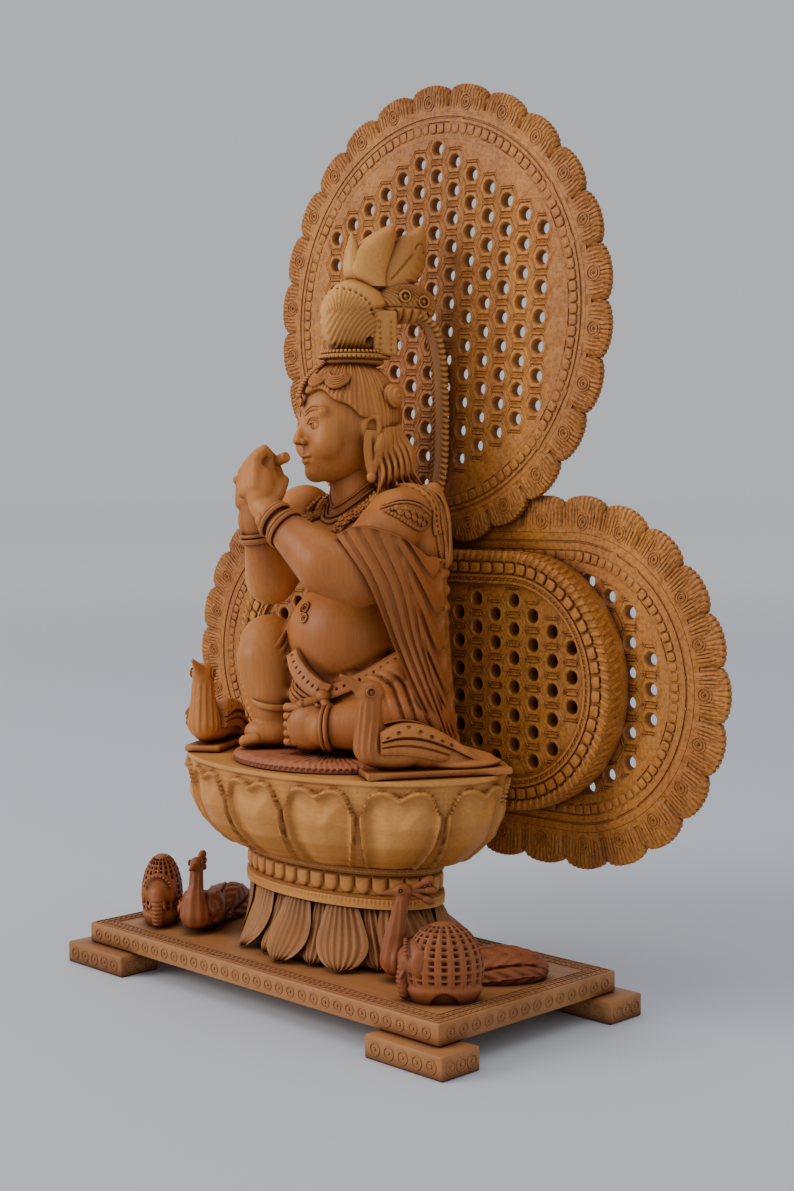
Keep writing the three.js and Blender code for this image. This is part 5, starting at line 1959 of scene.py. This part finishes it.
def elephant():
    """A domed elephant under a netted blanket."""
    def net(wx, wy, wz):
        angle = np.arctan2(wx, wy)
        high = np.arcsin(np.clip(wz, -1, 1))
        above_hem = high > -0.3
        netted = above_hem * (high < 1.2)
        dot_x = (angle * 18 / TURN) % 1 - 0.5
        dot_z = (high * 6.4) % 1 - 0.5
        dots = -1.5 * (1 - between(0.13, 0.3, np.maximum(np.abs(dot_x) * 1.3, np.abs(dot_z)))) * netted
        bands = 0.2 * ridge(np.abs(dot_z), 0.5, 0.12) * above_hem + 0.6 * (1 - between(-0.4, -0.32, high))
        strings = 0.2 * ridge(np.abs(dot_x), 0.5, 0.1) * netted
        return dots + bands + strings
    dome = cut_flat(relief_ball((0, 1, 12), (8.8, 14.6, 17.6), 144, 90, net))
    # Legs show below the hem: the dome's foot is cut back between them
    points = points_of(dome)
    from_middle = points[:, 1] - 1
    arch = points[:, 2] + 0.14 * from_middle ** 2 * (np.abs(from_middle) < 8)
    gap = (1 - between(4.0, 4.8, arch)) * (np.abs(from_middle) < 5.2)
    points[:, 0] *= 1 - 0.3 * gap
    move_points(dome, points)
    ears = [ball(side * 5.6, -7.5, 15, (1.8, 4, 5.6), (0, 0, side * 14)) for side in (-1, 1)]
    trunk = chain((0, -12.6, 15, 3.4), (0, -14.2, 8, 2.8), (0, -13.6, 2.6, 2.4))
    head = fuse("elephant_head", [ball(0, -9, 16, (6.6, 5.4, 7.6)), *trunk, *ears], 0.6, 3)
    points = points_of(head)
    points[:, 1] -= 0.3 * np.cos(points[:, 2] * TURN / 1.8) * (points[:, 1] < -13) * (points[:, 2] < 13)
    move_points(head, points)
    parts = [dome, cut_flat(head)]
    for side in (-1, 1):
        parts.append(stamp_at(at(side * 4.9, -12.2, 17, 0, 90, side * -40), 0.9, 0.28, 0.4))
        parts += chain((side * 2.2, -13.6, 12, 1.1), (side * 3.2, -15.4, 9.4, 0.6))
    # Rows of dots round the brow and cheeks
    places = []
    for degrees in range(20, 161, 14):
        turn = math.radians(degrees)
        places.append(at(6.2 * math.cos(turn), -13.2, 16.4 + 6.4 * math.sin(turn)))
    parts.append(copies("brow_beads", ball(0, 0, 0, (0.6, 0.9, 0.6), across=8, up=5), places))
    return join("elephant", parts)


def place_animal(name, hand, piece, x, y, z, turn, wood, slot):
    """One animal turned, set in its place and finished."""
    piece = turned(piece, (x, y, z), turn)
    piece.name = f"{name}_carved_{hand}"
    finish(smooth(piece, 50), wood, slot, f"{name}_{hand}")


def animals():
    """Birds on the seat, peacocks and elephants on the board."""
    on_seat, on_board = SEAT_TOP + SEAM, BOARD_TOP + SEAM
    place_animal("seat_bird", "left", seat_bird(), -55, -23, on_seat, 30, FIGURE_WOOD, "figure_wood")
    place_animal("seat_bird", "right", seat_bird(), 55, -23, on_seat, -30, FIGURE_WOOD, "figure_wood")
    place_animal("peacock", "left", peacock(29.5, 5.5), -60, -27, on_board, 32, ANIMAL_WOOD, "animal_wood")
    place_animal("peacock", "right", peacock(35, 8.5), 59, -18, on_board, -42, ANIMAL_WOOD, "animal_wood")
    place_animal("elephant", "left", elephant(), -86, -27, on_board, 45, ANIMAL_WOOD, "animal_wood")
    place_animal("elephant", "right", elephant(), 88, -28, on_board, -45, ANIMAL_WOOD, "animal_wood")


plinth_board()
plinth_feet()
lotus_foot()
drum()
lotus_seat()
seat_mat()
halo()
back_screen()
front_screen()
figure()
flute()
animals()
set_studio()
set_camera()
